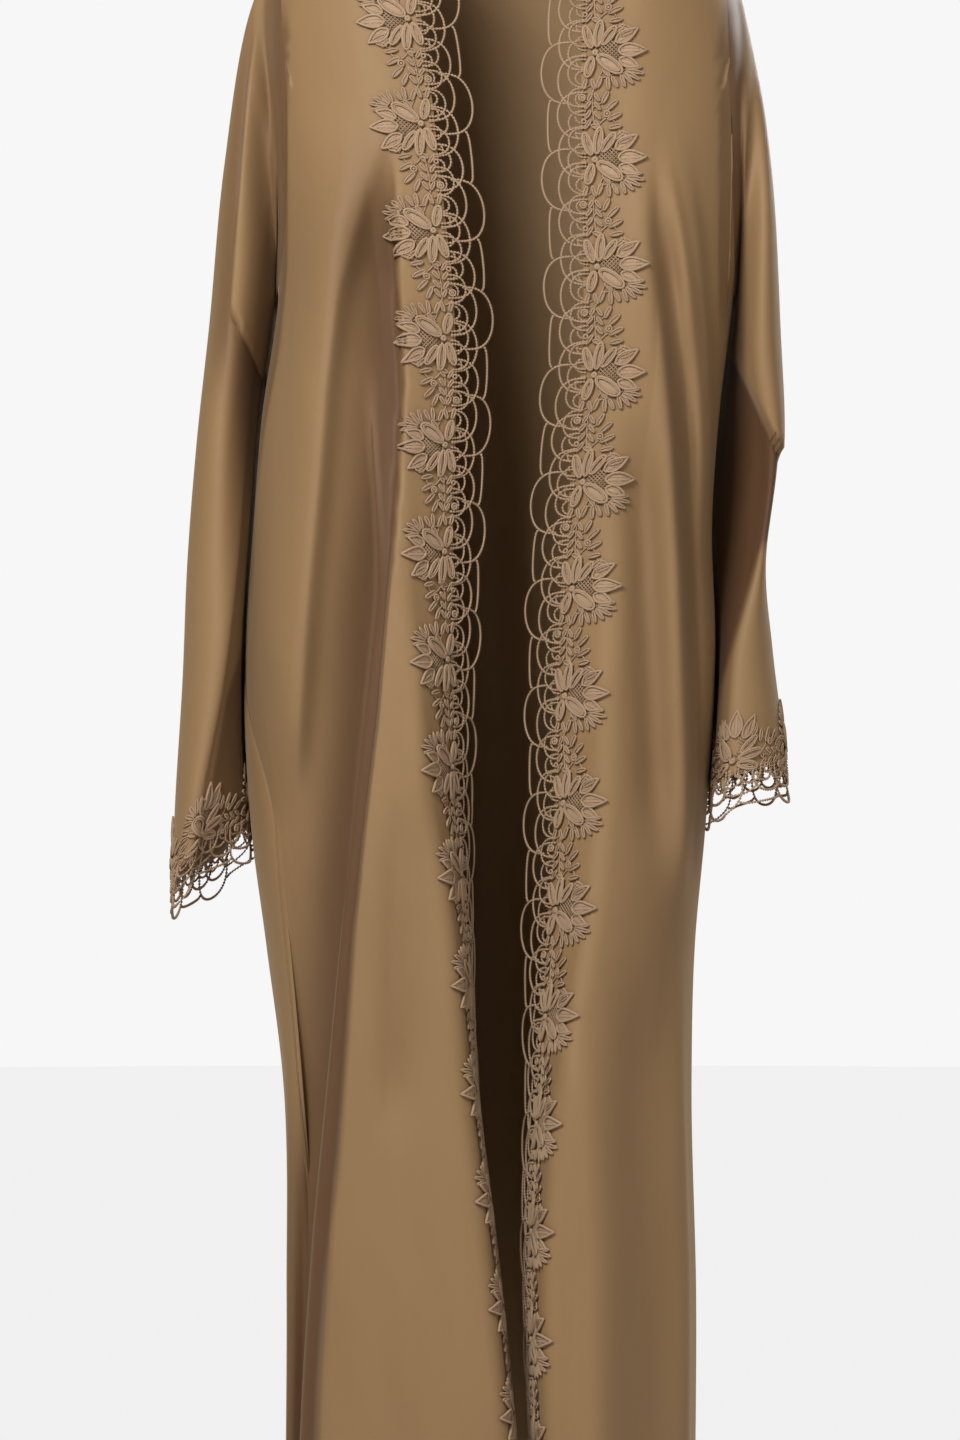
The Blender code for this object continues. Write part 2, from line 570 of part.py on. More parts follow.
def lace(name, rows, normals, phase, lift, flip=False):
    """Lace from rows of points across its width: a solid flower band, then cells with gaps."""
    bm = bmesh.new()
    lifted = rows + lift * normals
    grid = []
    for r, line in enumerate(lifted):
        k = (r + phase) % CELLS
        k = (CELLS - k) % CELLS if flip else k
        line = np.array(line)
        line[0] = line[0] + (line[1] - line[0]) * PETAL[k]
        line[-1] = line[-2] + (line[-1] - line[-2]) * LOOP_EDGE[k]
        grid.append([bm.verts.new(p) for p in line])
    gaps = []
    for r in range(len(grid) - 1):
        for c in range(len(grid[0]) - 1):
            quad = (grid[r][c], grid[r][c + 1], grid[r + 1][c + 1], grid[r + 1][c])
            face = bm.faces.new(quad)
            inner_cell = c == len(grid[0]) - 3
            outer_cell = c == len(grid[0]) - 2 and (r + phase) % CELLS != 0
            if inner_cell or outer_cell:
                gaps.append(face)
    bmesh.ops.recalc_face_normals(bm, faces=bm.faces)
    bm.normal_update()
    bm.faces.ensure_lookup_table()
    if bm.faces[0].normal.dot(Vector(normals[0, 0])) < 0:
        bmesh.ops.reverse_faces(bm, faces=bm.faces)
    bmesh.ops.inset_individual(bm, faces=gaps, thickness=CORD, use_even_offset=True)
    bmesh.ops.delete(bm, geom=gaps, context="FACES")
    mesh = bpy.data.meshes.new(name)
    bm.to_mesh(mesh)
    bm.free()
    made = bpy.data.objects.new(name, mesh)
    made.data.materials.append(material(name, LACE_COLOUR, 0.75))
    garment.objects.link(made)
    solid = made.modifiers.new("wall", "SOLIDIFY")
    solid.thickness = LACE_WALL
    solid.offset = 1.0
    return made


def front_lace(side, name, points, normals, phase):
    """The lace of one front, from the shoulder seam to the hem, made from the strip's points."""
    first = 1    # the strip's first column stays clear of the lace
    hem = points[:, len(STRIP_COLUMNS) - 1]
    lengths = np.concatenate([[0.0], np.cumsum(np.linalg.norm(np.diff(hem, axis=0), axis=1))])
    rows, outs = [], []
    for low in range(len(lengths) - 1):
        cells = max(1, int(round((lengths[low + 1] - lengths[low]) / (LACE_REPEAT / CELLS))))
        for k in range(cells):
            share = k / cells
            rows.append(points[low, first:] * (1 - share) + points[low + 1, first:] * share)
            out = normals[low, first:] * (1 - share) + normals[low + 1, first:] * share
            outs.append(out / np.linalg.norm(out, axis=-1, keepdims=True))
    rows.append(points[-1, first:])
    outs.append(normals[-1, first:])
    lace(name, np.array(rows), np.array(outs), phase, LACE_LIFT, flip=side > 0)


def cuff_lace(side, names, points, normals):
    """A cuff's lace in two halves, front and back, from the sleeve's lowest points."""
    half = SLEEVE_SIDES // 2
    for name, start, lift in zip(names, (0, half), (CUFF_FRONT_LIFT, CUFF_BACK_LIFT)):
        picks = [(start + k) % SLEEVE_SIDES for k in range(half + 1)]
        rows, outs = points[picks].copy(), normals[picks].copy()
        rows[0] += (rows[1] - rows[0]) * CUFF_END
        rows[-1] += (rows[-2] - rows[-1]) * CUFF_END
        lace(name, rows, outs, 0, lift)


for old in list(bpy.data.objects):
    bpy.data.objects.remove(old)
garment = bpy.data.collections.new("abaya_cloak")
bpy.context.scene.collection.children.link(garment)

back_piece()
neg_strip = front_piece(-1, "front_right")
pos_strip = front_piece(1, "front_left")
neg_cuff = sleeve_piece(-1, "sleeve_right")
pos_cuff = sleeve_piece(1, "sleeve_left")
front_lace(-1, "lace_front_right", *neg_strip, phase=2)
front_lace(1, "lace_front_left", *pos_strip, phase=3)
cuff_lace(-1, ("lace_cuff_right_front", "lace_cuff_right_back"), *neg_cuff)
cuff_lace(1, ("lace_cuff_left_front", "lace_cuff_left_back"), *pos_cuff)
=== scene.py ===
"""An open-front abaya cloak of smooth tan crepe, shaped as worn and empty inside, with corded lace trims."""
import math

import bmesh
import bpy
import numpy as np
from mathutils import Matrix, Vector


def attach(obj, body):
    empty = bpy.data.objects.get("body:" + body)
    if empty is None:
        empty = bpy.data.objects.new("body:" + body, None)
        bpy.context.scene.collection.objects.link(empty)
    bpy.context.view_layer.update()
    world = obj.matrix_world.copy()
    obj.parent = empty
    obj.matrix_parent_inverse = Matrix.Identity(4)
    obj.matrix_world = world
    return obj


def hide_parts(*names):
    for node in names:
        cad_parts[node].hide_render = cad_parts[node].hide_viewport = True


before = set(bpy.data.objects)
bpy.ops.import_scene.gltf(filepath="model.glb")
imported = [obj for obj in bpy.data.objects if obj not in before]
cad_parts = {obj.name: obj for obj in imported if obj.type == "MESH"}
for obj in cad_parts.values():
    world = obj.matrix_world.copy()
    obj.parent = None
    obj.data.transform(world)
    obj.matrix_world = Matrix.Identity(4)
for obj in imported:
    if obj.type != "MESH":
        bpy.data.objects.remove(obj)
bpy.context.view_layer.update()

# The back: one panel of crepe from side seam to side seam. Its plan widens from the dropped
# shoulders to the hem, and the cloth falls from there in long soft folds.
LENGTH = 1.43
NECK_HALF = 0.080
SHOULDER_HALF = 0.190
SHOULDER_DROP = 0.055
SHOULDER_ROUND = 0.090
ROUND_ROWS = 10
BACK_NECK_DROP = 0.020
ARMHOLE_TOP = SHOULDER_DROP
ARMHOLE_FOOT = 0.360
ARMHOLE_SCOOP = math.radians(22)
FRONT_FLATNESS = 0.8
FOLD_RADIUS = 0.17
START_DROP = 0.020
SETTLE_DROP = 0.250
SEAM_GAP_ANGLE = 0.001
CLOTH_WALL = 0.0011
SMALL_TURN = 0.002

SECTIONS = (
    ("drop", "half_neg", "half_pos", "front", "back"),
    (0.000, 0.186, 0.186, 0.118, 0.100),
    (0.055, 0.190, 0.190, 0.124, 0.106),
    (0.117, 0.203, 0.205, 0.130, 0.112),
    (0.220, 0.202, 0.214, 0.136, 0.118),
    (0.370, 0.197, 0.203, 0.138, 0.120),
    (0.480, 0.212, 0.190, 0.140, 0.124),
    (0.570, 0.219, 0.184, 0.142, 0.128),
    (0.680, 0.226, 0.187, 0.146, 0.134),
    (0.840, 0.220, 0.178, 0.152, 0.144),
    (0.940, 0.207, 0.169, 0.156, 0.150),
    (1.060, 0.192, 0.166, 0.160, 0.157),
    (1.250, 0.189, 0.170, 0.166, 0.165),
    (1.430, 0.190, 0.169, 0.170, 0.172),
)
NEG_LINES = (
    ("drop", "side", "outer", "inner", "strip", "turn", "bend"),
    (0.000, 90, 0.165, 0.155, 0.145, 0, 0.060),
    (0.117, 90, 0.158, 0.147, 0.137, 0, 0.060),
    (0.244, 90, 0.139, 0.130, 0.121, 0, 0.060),
    (0.335, 90, 0.140, 0.122, 0.110, 8, 0.055),
    (0.492, 90, 0.155, 0.112, 0.098, 30, 0.030),
    (0.639, 90, 0.168, 0.104, 0.089, 44, 0.020),
    (0.700, 86, 0.176, 0.110, 0.084, 52, 0.018),
    (0.787, 67, 0.184, 0.119, 0.076, 62, 0.017),
    (0.927, 66, 0.170, 0.132, 0.057, 79, 0.016),
    (1.066, 68, 0.160, 0.142, 0.045, 86, 0.016),
    (1.205, 64, 0.163, 0.153, 0.027, 87, 0.016),
    (1.370, 64, 0.168, 0.162, 0.010, 86, 0.016),
    (1.430, 64, 0.169, 0.164, 0.006, 86, 0.016),
)
POS_LINES = (
    ("drop", "side", "outer", "inner", "strip", "turn", "bend"),
    (0.000, 90, 0.163, 0.153, 0.143, 0, 0.060),
    (0.117, 90, 0.153, 0.143, 0.133, 0, 0.060),
    (0.244, 90, 0.150, 0.141, 0.131, 0, 0.060),
    (0.335, 90, 0.162, 0.141, 0.131, 0, 0.060),
    (0.457, 90, 0.172, 0.141, 0.127, 10, 0.050),
    (0.535, 90, 0.173, 0.142, 0.120, 18, 0.040),
    (0.627, 90, 0.173, 0.146, 0.110, 28, 0.030),
    (0.718, 90, 0.174, 0.153, 0.100, 39, 0.022),
    (0.810, 90, 0.168, 0.154, 0.098, 41, 0.020),
    (0.905, 90, 0.160, 0.148, 0.088, 48, 0.018),
    (0.996, 90, 0.155, 0.140, 0.072, 62, 0.017),
    (1.074, 90, 0.152, 0.135, 0.060, 72, 0.016),
    (1.161, 90, 0.152, 0.130, 0.053, 76, 0.016),
    (1.430, 90, 0.152, 0.130, 0.052, 84, 0.016),
)
LINES = {-1: NEG_LINES, 1: POS_LINES}
FOLDS = (
    ("side", "line", "lift", "wide_out", "wide_in", "overlap", "start", "full", "fade", "end"),
    (-1, "outer", 0.016, 0.045, 0.028, 0.000, 0.20, 0.36, 0.66, 0.84),
    (-1, "inner", 0.022, 0.007, 0.066, 0.003, 0.42, 0.62, 2.0, 3.0),
    (-1, 74, 0.004, 0.016, 0.014, 0.000, 0.95, 1.15, 2.0, 3.0),
    (1, "inner", 0.011, 0.022, 0.020, 0.000, 0.26, 0.42, 0.78, 0.94),
    (1, "outer", 0.007, 0.014, 0.020, 0.000, 0.20, 0.34, 0.48, 0.62),
    (1, 29, 0.007, 0.030, 0.034, 0.000, 0.84, 1.10, 2.0, 3.0),
    (1, 66, 0.005, 0.018, 0.022, 0.000, 0.90, 1.15, 2.0, 3.0),
    (-1, 120, 0.010, 0.026, 0.030, 0.000, 0.70, 1.05, 2.0, 3.0),
    (-1, 143, 0.012, 0.028, 0.024, 0.000, 0.34, 0.85, 2.0, 3.0),
    (-1, 168, 0.011, 0.030, 0.026, 0.000, 0.28, 0.90, 2.0, 3.0),
    (1, 166, 0.013, 0.028, 0.030, 0.000, 0.40, 0.98, 2.0, 3.0),
    (1, 139, 0.011, 0.024, 0.028, 0.000, 0.30, 0.80, 2.0, 3.0),
    (1, 114, 0.008, 0.024, 0.024, 0.000, 0.86, 1.12, 2.0, 3.0),
)


def read(table, name, at):
    """One named column of a table, on a smooth curve through its rows."""
    rows = np.array(table[1:], dtype=float)
    places = rows[:, 0]
    values = rows[:, table[0].index(name)]
    slopes = np.gradient(values, places)
    at = np.asarray(at, dtype=float)
    low = np.clip(np.searchsorted(places, at, side="right") - 1, 0, len(places) - 2)
    span = places[low + 1] - places[low]
    t = np.clip((at - places[low]) / span, 0.0, 1.0)
    start = (2 * t**3 - 3 * t**2 + 1) * values[low] + (t**3 - 2 * t**2 + t) * span * slopes[low]
    end = (3 * t**2 - 2 * t**3) * values[low + 1] + (t**3 - t**2) * span * slopes[low + 1]
    return start + end


def ease(t):
    """A smooth step from 0 to 1."""
    t = np.clip(t, 0.0, 1.0)
    return t * t * (3 - 2 * t)


def seam_drop(x):
    """Drop of the shoulder seam at a distance from the centre."""
    along = (np.abs(x) - NECK_HALF) / (SHOULDER_HALF - NECK_HALF)
    return SHOULDER_DROP * np.clip(along, 0.0, 1.0)


def rounding(x, drop):
    """Share of the full depth that the cloth has reached below the shoulder seam."""
    left = 1.0 - np.clip((drop - seam_drop(x)) / SHOULDER_ROUND, 0.0, 1.0)
    return np.sqrt(1.0 - left * left)


def half_width(side, drop):
    """Half width of the body cloth on one side."""
    return read(SECTIONS, "half_neg" if side < 0 else "half_pos", drop)


def outline(angle, drop):
    """Plan of the body cloth without folds."""
    half = np.where(np.sin(angle) < 0, half_width(-1, drop), half_width(1, drop))
    depth = np.where(np.cos(angle) > 0, -read(SECTIONS, "front", drop), read(SECTIONS, "back", drop))
    return half * np.sin(angle), depth * np.abs(np.cos(angle)) ** FRONT_FLATNESS


def line_angle(side, name, drop):
    """Plan angle of a named line of a front, or of a number of degrees."""
    if not isinstance(name, str):
        return side * np.radians(float(name)) * np.ones_like(np.asarray(drop, dtype=float))
    value = read(LINES[side], name, drop)
    if name == "side":
        return side * np.radians(value)
    return side * np.arcsin(value / half_width(side, drop))


def folds(angle, drop):
    """How far the folds lift the cloth, and shift it along itself towards the centre front."""
    lift = np.zeros_like(angle)
    shift = np.zeros_like(angle)
    for row in FOLDS[1:]:
        side, line, height, wide_out, wide_in, overlap, start, full, fade, end = row
        turn = angle - line_angle(side, line, drop)
        turn = (turn + math.pi) % (2 * math.pi) - math.pi
        away = -side * FOLD_RADIUS * turn
        power = ease((drop - start) / (full - start)) * (1 - ease((drop - fade) / (end - fade)))
        if overlap > 0:
            near = np.clip(away / wide_out, -1.0, 1.0)
            tail = np.exp(-(np.clip(away - wide_out, 0.0, None) / wide_in) ** 2)
            lift += power * height * ease((near + 1) / 2) * tail
            shift -= power * overlap * np.sin(math.pi * near) * (1 - near**2) * 4 / 3
        else:
            wide = np.where(away > 0, wide_in, wide_out)
            lift += power * height * np.exp(-(away / wide) ** 2)
    return lift, shift


def body(angle, drop):
    """Plan of the folded body cloth, before the shoulder rounds it over."""
    x, y = outline(angle, drop)
    ahead_x, ahead_y = outline(angle + SMALL_TURN, drop)
    behind_x, behind_y = outline(angle - SMALL_TURN, drop)
    along_x, along_y = ahead_x - behind_x, ahead_y - behind_y
    size = np.hypot(along_x, along_y)
    along_x, along_y = along_x / size, along_y / size
    lift, shift = folds(angle, drop)
    shift = np.where(np.sin(angle) < 0, shift, -shift)
    return x + along_y * lift + along_x * shift, y - along_x * lift + along_y * shift


def point(x, y, drop):
    """A place of the plan at a drop, drawn in where the shoulder rounds."""
    return np.stack([x, y * rounding(x, drop), -drop], axis=-1)


def cloth(angle, drop):
    """A point of the body cloth."""
    x, y = body(angle, drop)
    return point(x, y, drop)


def armhole(side, turn):
    """A point of the armhole: a turn of 0 is its top, pi / 2 its front, pi its foot."""
    middle = (ARMHOLE_TOP + ARMHOLE_FOOT) / 2
    reach = (ARMHOLE_FOOT - ARMHOLE_TOP) / 2
    drop = middle - reach * np.cos(turn)
    angle = side * (math.pi / 2 - ARMHOLE_SCOOP * np.sin(turn))
    return angle, drop


def column_drops(tops, count):
    """Drops of every row of columns that start at their own tops: close over the rounding."""
    bend = [SHOULDER_ROUND * (1 - math.cos(math.pi / 2 * k / ROUND_ROWS)) for k in range(ROUND_ROWS)]
    near = tops[None, :] + np.array(bend)[:, None]
    low = tops[None, :] + SHOULDER_ROUND
    far = low + (LENGTH - low) * np.linspace(0.0, 1.0, count)[:, None]
    return np.concatenate([near, far], axis=0)


def along_lines(table, side, at):
    """Sum of the soft bands that a table lays along lines of a front, at points of the cloth."""
    total = np.zeros(at.shape[:-1])
    drop = -at[..., 2]
    for band_side, strength, left, right, fade, line in table[1:]:
        if band_side == side:
            xs, drops = np.array(line).T / 1000
            away = at[..., 0] - np.interp(drop, drops, xs)
            power = ease((drop - drops[0]) / fade) * ease((drops[-1] - drop) / fade)
            total += power * strength * np.exp(-(away / np.where(away < 0, left, right)) ** 2)
    return total


def new_object(name, data):
    """A new object of the scene."""
    made = bpy.data.objects.new(name, data)
    bpy.context.scene.collection.objects.link(made)
    return made


def new_mesh(name, bm):
    """A mesh of what a bmesh holds, which is then let go."""
    mesh = bpy.data.meshes.new(name)
    bm.to_mesh(mesh)
    bm.free()
    return mesh


def panel(name, points, uv, painted_shade, closed=False):
    """A cloth panel: a flat grid whose points are moved to their places on the garment."""
    rows, columns = points.shape[:2]
    bm = bmesh.new()
    bmesh.ops.create_grid(bm, x_segments=columns - 1, y_segments=rows - 1, size=0.5)
    grid_x = np.array([v.co.x for v in bm.verts]) + 0.5
    grid_y = 0.5 - np.array([v.co.y for v in bm.verts])
    column = np.rint(grid_x * (columns - 1)).astype(int)
    row = np.rint(grid_y * (rows - 1)).astype(int)
    places = points[row, column]
    flat = uv[row, column]
    layer = bm.loops.layers.uv.new("cloth")
    for v, place in zip(bm.verts, places):
        v.co = place
    bm.verts.index_update()
    for face in bm.faces:
        for loop in face.loops:
            loop[layer].uv = flat[loop.vert.index]
    # Each point's share of painted shade, which the cloth's colour mixes in.
    depth = bm.verts.layers.float.new("painted_shade")
    for v, share in zip(bm.verts, painted_shade[row, column]):
        v[depth] = share
    if closed:
        bmesh.ops.remove_doubles(bm, verts=bm.verts, dist=1e-5)
    mesh = new_mesh(name, bm)
    mesh.shade_smooth()
    made = new_object(name, mesh)
    wall = made.modifiers.new("wall", "SOLIDIFY")
    wall.thickness = CLOTH_WALL
    wall.offset = -1.0
    return made


def flat_sizes(points):
    """Distances along the rows and down the columns of a panel, for its weave and its cut."""
    over = np.linalg.norm(np.diff(points, axis=1), axis=-1)
    down = np.linalg.norm(np.diff(points, axis=0), axis=-1)
    u = np.concatenate([np.zeros((points.shape[0], 1)), np.cumsum(over, axis=1)], axis=1)
    v = np.concatenate([np.zeros((1, points.shape[1])), np.cumsum(down, axis=0)], axis=0)
    return np.stack([u, v - v[-1]], axis=-1)


def woven_group():
    """Crossed threads and slow unevenness of tone, for a surface laid out in metres."""
    group = bpy.data.node_groups.new("woven", "ShaderNodeTree")
    face = group.interface
    face.new_socket("Place", in_out="INPUT", socket_type="NodeSocketVector")
    face.new_socket("Threads", in_out="INPUT", socket_type="NodeSocketFloat")
    face.new_socket("Dark", in_out="INPUT", socket_type="NodeSocketColor")
    face.new_socket("Light", in_out="INPUT", socket_type="NodeSocketColor")
    face.new_socket("Color", in_out="OUTPUT", socket_type="NodeSocketColor")
    face.new_socket("Height", in_out="OUTPUT", socket_type="NodeSocketFloat")
    nodes, links = group.nodes, group.links
    given = nodes.new("NodeGroupInput")
    result = nodes.new("NodeGroupOutput")
    crossed = nodes.new("ShaderNodeMath")
    crossed.operation = "MAXIMUM"
    for k, way in enumerate(("X", "Y")):
        thread = nodes.new("ShaderNodeTexWave")
        thread.bands_direction = way
        thread.inputs["Distortion"].default_value = 0.6
        thread.inputs["Detail"].default_value = 1.0
        links.new(given.outputs["Place"], thread.inputs["Vector"])
        links.new(given.outputs["Threads"], thread.inputs["Scale"])
        links.new(thread.outputs["Fac"], crossed.inputs[k])
    streaks = nodes.new("ShaderNodeTexNoise")
    stretch = nodes.new("ShaderNodeVectorMath")
    stretch.operation = "MULTIPLY"
    stretch.inputs[1].default_value = (26.0, 5.0, 12.0)
    streaks.inputs["Scale"].default_value = 1.0
    streaks.inputs["Detail"].default_value = 4.0
    tone = nodes.new("ShaderNodeMix")
    tone.data_type = "RGBA"
    links.new(given.outputs["Place"], stretch.inputs[0])
    links.new(stretch.outputs["Vector"], streaks.inputs["Vector"])
    links.new(streaks.outputs["Fac"], tone.inputs["Factor"])
    links.new(given.outputs["Dark"], tone.inputs["A"])
    links.new(given.outputs["Light"], tone.inputs["B"])
    links.new(tone.outputs["Result"], result.inputs["Color"])
    links.new(crossed.outputs["Value"], result.inputs["Height"])
    return group


woven = woven_group()


def fabric(name, dark, light, deep, threads, relief, roughness, coordinate):
    """Cloth or thread with its weave as relief and an uneven tone, darkened by painted shade at each point.
    """
    made = bpy.data.materials.new(name)
    made.use_nodes = True
    nodes, links = made.node_tree.nodes, made.node_tree.links
    shader = nodes["Principled BSDF"]
    weave = nodes.new("ShaderNodeGroup")
    weave.node_tree = woven
    weave.inputs["Threads"].default_value = threads
    weave.inputs["Dark"].default_value = dark
    weave.inputs["Light"].default_value = light
    place = nodes.new("ShaderNodeTexCoord")
    bump = nodes.new("ShaderNodeBump")
    bump.inputs["Strength"].default_value = relief
    bump.inputs["Distance"].default_value = 0.0003
    links.new(place.outputs[coordinate], weave.inputs["Place"])
    # Painted shade: the darker colour deep is mixed over the woven tone by each point's share.
    painted_shade = nodes.new("ShaderNodeAttribute")
    painted_shade.attribute_name = "painted_shade"
    tone = nodes.new("ShaderNodeMix")
    tone.data_type = "RGBA"
    tone.inputs["B"].default_value = deep
    links.new(painted_shade.outputs["Fac"], tone.inputs["Factor"])
    links.new(weave.outputs["Color"], tone.inputs["A"])
    links.new(tone.outputs["Result"], shader.inputs["Base Color"])
    links.new(weave.outputs["Height"], bump.inputs["Height"])
    links.new(bump.outputs["Normal"], shader.inputs["Normal"])
    shader.inputs["Roughness"].default_value = roughness
    shader.inputs["Specular IOR Level"].default_value = 0.28
    shader.inputs["Sheen Weight"].default_value = 0.18
    shader.inputs["Sheen Roughness"].default_value = 0.45
    shader.inputs["Sheen Tint"].default_value = (0.85, 0.68, 0.46, 1.0)
    return made


CREPE_DARK = (0.245, 0.146, 0.066, 1.0)
CREPE_LIGHT = (0.282, 0.173, 0.079, 1.0)
# A darker colour painted into the cloth as shade in its valleys.
CREPE_PAINTED_SHADE = (0.085, 0.036, 0.016, 1.0)
tan_crepe = fabric("tan_crepe", CREPE_DARK, CREPE_LIGHT, CREPE_PAINTED_SHADE, 700.0, 0.18, 0.58, "UV")


def turned_round(angle):
    """A plan angle as one from the back centre, or the other way round."""
    return np.where(angle < 0, -math.pi - angle, math.pi - angle)


# Bands that stand out from the cloth along lines of (x, drop) in millimetres: how far each stands
# out, how wide it is to its left and right, and over what drop it fades in and out. Side 0 is the
# back, whose bands stand out backwards.
VALLEY = ((-86, 800), (-89, 900), (-92, 1000), (-96, 1120))
RIDGES = (
    ("side", "height", "left", "right", "fade", "line"),
    (0, 0.010, 0.022, 0.026, 0.25, ((-60, 230), (-66, 700), (-80, 1700))),
    (0, -0.009, 0.020, 0.022, 0.25, ((-16, 300), (-24, 800), (-32, 1700))),
    (0, 0.009, 0.024, 0.018, 0.25, ((26, 330), (34, 900), (46, 1700))),
    (0, -0.008, 0.018, 0.022, 0.25, ((78, 280), (90, 900), (98, 1700))),
    (0, 0.007, 0.014, 0.016, 0.25, ((112, 400), (122, 900), (126, 1700))),
    (0, 0.006, 0.014, 0.014, 0.25, ((-108, 360), (-120, 900), (-126, 1700))),
    (-1, 0.014, 0.034, 0.011, 0.10, (
        (-104, 225), (-130, 324), (-144, 378), (-154, 461), (-159, 530), (-168, 621), (-175, 713),
        (-184, 840))),
    (-1, -0.006, 0.016, 0.022, 0.07, VALLEY),
    (-1, 0.0025, 0.012, 0.012, 0.07, ((-62, 640), (-70, 760), (-78, 900), (-84, 1040))),
    (1, 0.008, 0.020, 0.008, 0.07, (
        (122, 250), (123, 335), (134, 411), (143, 506), (149, 612), (153, 740), (157, 840),
        (160, 927))),
    (1, -0.009, 0.012, 0.008, 0.07, (
        (140, 300), (151, 411), (160, 506), (167, 612), (170, 740), (174, 840), (176, 900))),
    (1, 0.006, 0.010, 0.007, 0.07, (
        (137, 245), (150, 310), (160, 374), (169, 465), (176, 575), (181, 639))),
    (1, -0.012, 0.016, 0.018, 0.10, ((112, 470), (122, 600), (128, 740), (133, 880))),
    (1, 0.007, 0.016, 0.022, 0.07, ((62, 1000), (70, 1080), (78, 1200), (80, 1330), (80, 1550))),
    (1, -0.006, 0.026, 0.022, 0.10, (
        (112, 940), (118, 1080), (122, 1200), (124, 1330), (124, 1550))),
)
# The sharp crease of the right front: the cloth to its left is tucked in under it.
TUCK_LINE = (
    (-99, 240), (-95, 313), (-91, 405), (-88, 461), (-93, 552), (-101, 644), (-109, 740), (-121, 840),
    (-130, 927), (-138, 1040), (-144, 1118), (-151, 1180), (-155, 1231), (-161, 1318), (-163, 1370),
    (-163, 1650),
)
TUCK_SIDE = -1
TUCK_HEIGHT = 0.032
TUCK_LEFT = 0.040
TUCK_FADE = 0.12
TUCK_SOFT = 0.0030
LAP_DROP = 1.04
LAP_FADE = 0.12
CREASE_START = 0.055
CREASE_SOFT = 0.030
# Shade painted into the valleys of the cloth, along lines like those of the ridges.
PAINTED_SHADE_LINES = (
    ("side", "depth", "left", "right", "fade", "line"),
    (-1, 0.80, 0.046, 0.0022, 0.15, (
        (-98, 210), *((x + 1, drop) for x, drop in TUCK_LINE[1:-1]), (-162, 1700))),
    (-1, 0.62, 0.012, 0.0016, 0.05, (
        (-188, 100), (-189, 350), (-196, 422), (-208, 483), (-218, 553), (-221, 660))),
    (-1, 0.30, 0.016, 0.020, 0.16, ((-215, 480), (-220, 560), (-222, 640), (-214, 740), (-196, 850))),
    (-1, 0.16, 0.020, 0.020, 0.10, VALLEY),
    (1, 0.50, 0.009, 0.012, 0.10, (
        (130, 270), (141, 411), (151, 506), (158, 612), (163, 740), (167, 840), (171, 927))),
    (1, 0.26, 0.030, 0.012, 0.14, (
        (112, 440), (124, 506), (132, 612), (137, 740), (142, 900), (120, 1100))),
    (1, 0.16, 0.028, 0.022, 0.14, ((104, 900), (118, 1080), (122, 1200), (126, 1330), (126, 1700))),
    (1, 0.22, 0.012, 0.012, 0.10, ((160, 330), (178, 420), (184, 540), (186, 700))),
    (1, 0.50, 0.0016, 0.012, 0.05, ((189, 100), (188, 330), (190, 420))),
)


def creases(side, at, share=1.0):
    """Adds a share of the creases of a front's cloth, which stand out towards the viewer."""
    at = at.copy()
    flat = ease((-at[..., 1] - CREASE_START) / CREASE_SOFT) * share
    total = along_lines(RIDGES, side, at)
    if side == TUCK_SIDE:
        drop = -at[..., 2]
        xs, drops = np.array(TUCK_LINE).T / 1000
        away = at[..., 0] - np.interp(drop, drops, xs)
        under = (1 - ease(away / TUCK_SOFT)) * np.exp(-(np.clip(away, None, 0) / TUCK_LEFT) ** 2)
        total -= ease((drop - drops[0]) / TUCK_FADE) * TUCK_HEIGHT * under
    at[..., 1] -= total * flat
    return at


BACK_COLUMNS = 91
BACK_ROWS = 150
ARMHOLE_PLACES = 4
SEAM_TUCK = 0.034
SEAM_UNDER = 0.0026
SEAM_NEXT = 0.3
SEAM_START = 0.03
BACK_FOLD_START = 0.03
BACK_FOLD_SOFT = 0.04
BACK_TOPS = (-0.190, -0.135, -NECK_HALF, -0.032, 0.032, NECK_HALF, 0.135, 0.190)

share = np.linspace(0.0, 1.0, BACK_COLUMNS)
last_place = 2 * ARMHOLE_PLACES + len(BACK_TOPS) - 1
place = share * last_place
turn_neg = np.radians(180 + 180 / ARMHOLE_PLACES * np.clip(place, 0, ARMHOLE_PLACES))
turn_pos = np.radians(180 + 180 / ARMHOLE_PLACES * np.clip(last_place - place, 0, ARMHOLE_PLACES))
neg_angle, neg_drop = armhole(-1, turn_neg)
pos_angle, pos_drop = armhole(1, turn_pos)
across = np.interp(place, ARMHOLE_PLACES + np.arange(len(BACK_TOPS)), BACK_TOPS)
middle_side = np.where(across < 0, -1, 1)
lean = np.arcsin(np.clip(np.abs(across) / half_width(1, START_DROP), 0, 1))
middle_drop = np.where(np.abs(across) < NECK_HALF, BACK_NECK_DROP * (1 - (across / NECK_HALF) ** 2),
                       seam_drop(across))
on_neg = place < ARMHOLE_PLACES
on_pos = place > last_place - ARMHOLE_PLACES
top_angle = np.where(on_neg, turned_round(neg_angle),
                     np.where(on_pos, turned_round(pos_angle), middle_side * lean))
top_drop = np.where(on_neg, neg_drop, np.where(on_pos, pos_drop, middle_drop))
drops = column_drops(top_drop, BACK_ROWS)


def back_line(drop):
    """Plan angles from the back centre of every column, even from side seam to side seam."""
    first = -(math.pi - np.abs(line_angle(-1, "side", drop)))
    last = math.pi - np.abs(line_angle(1, "side", drop))
    return first + (last - first) * share


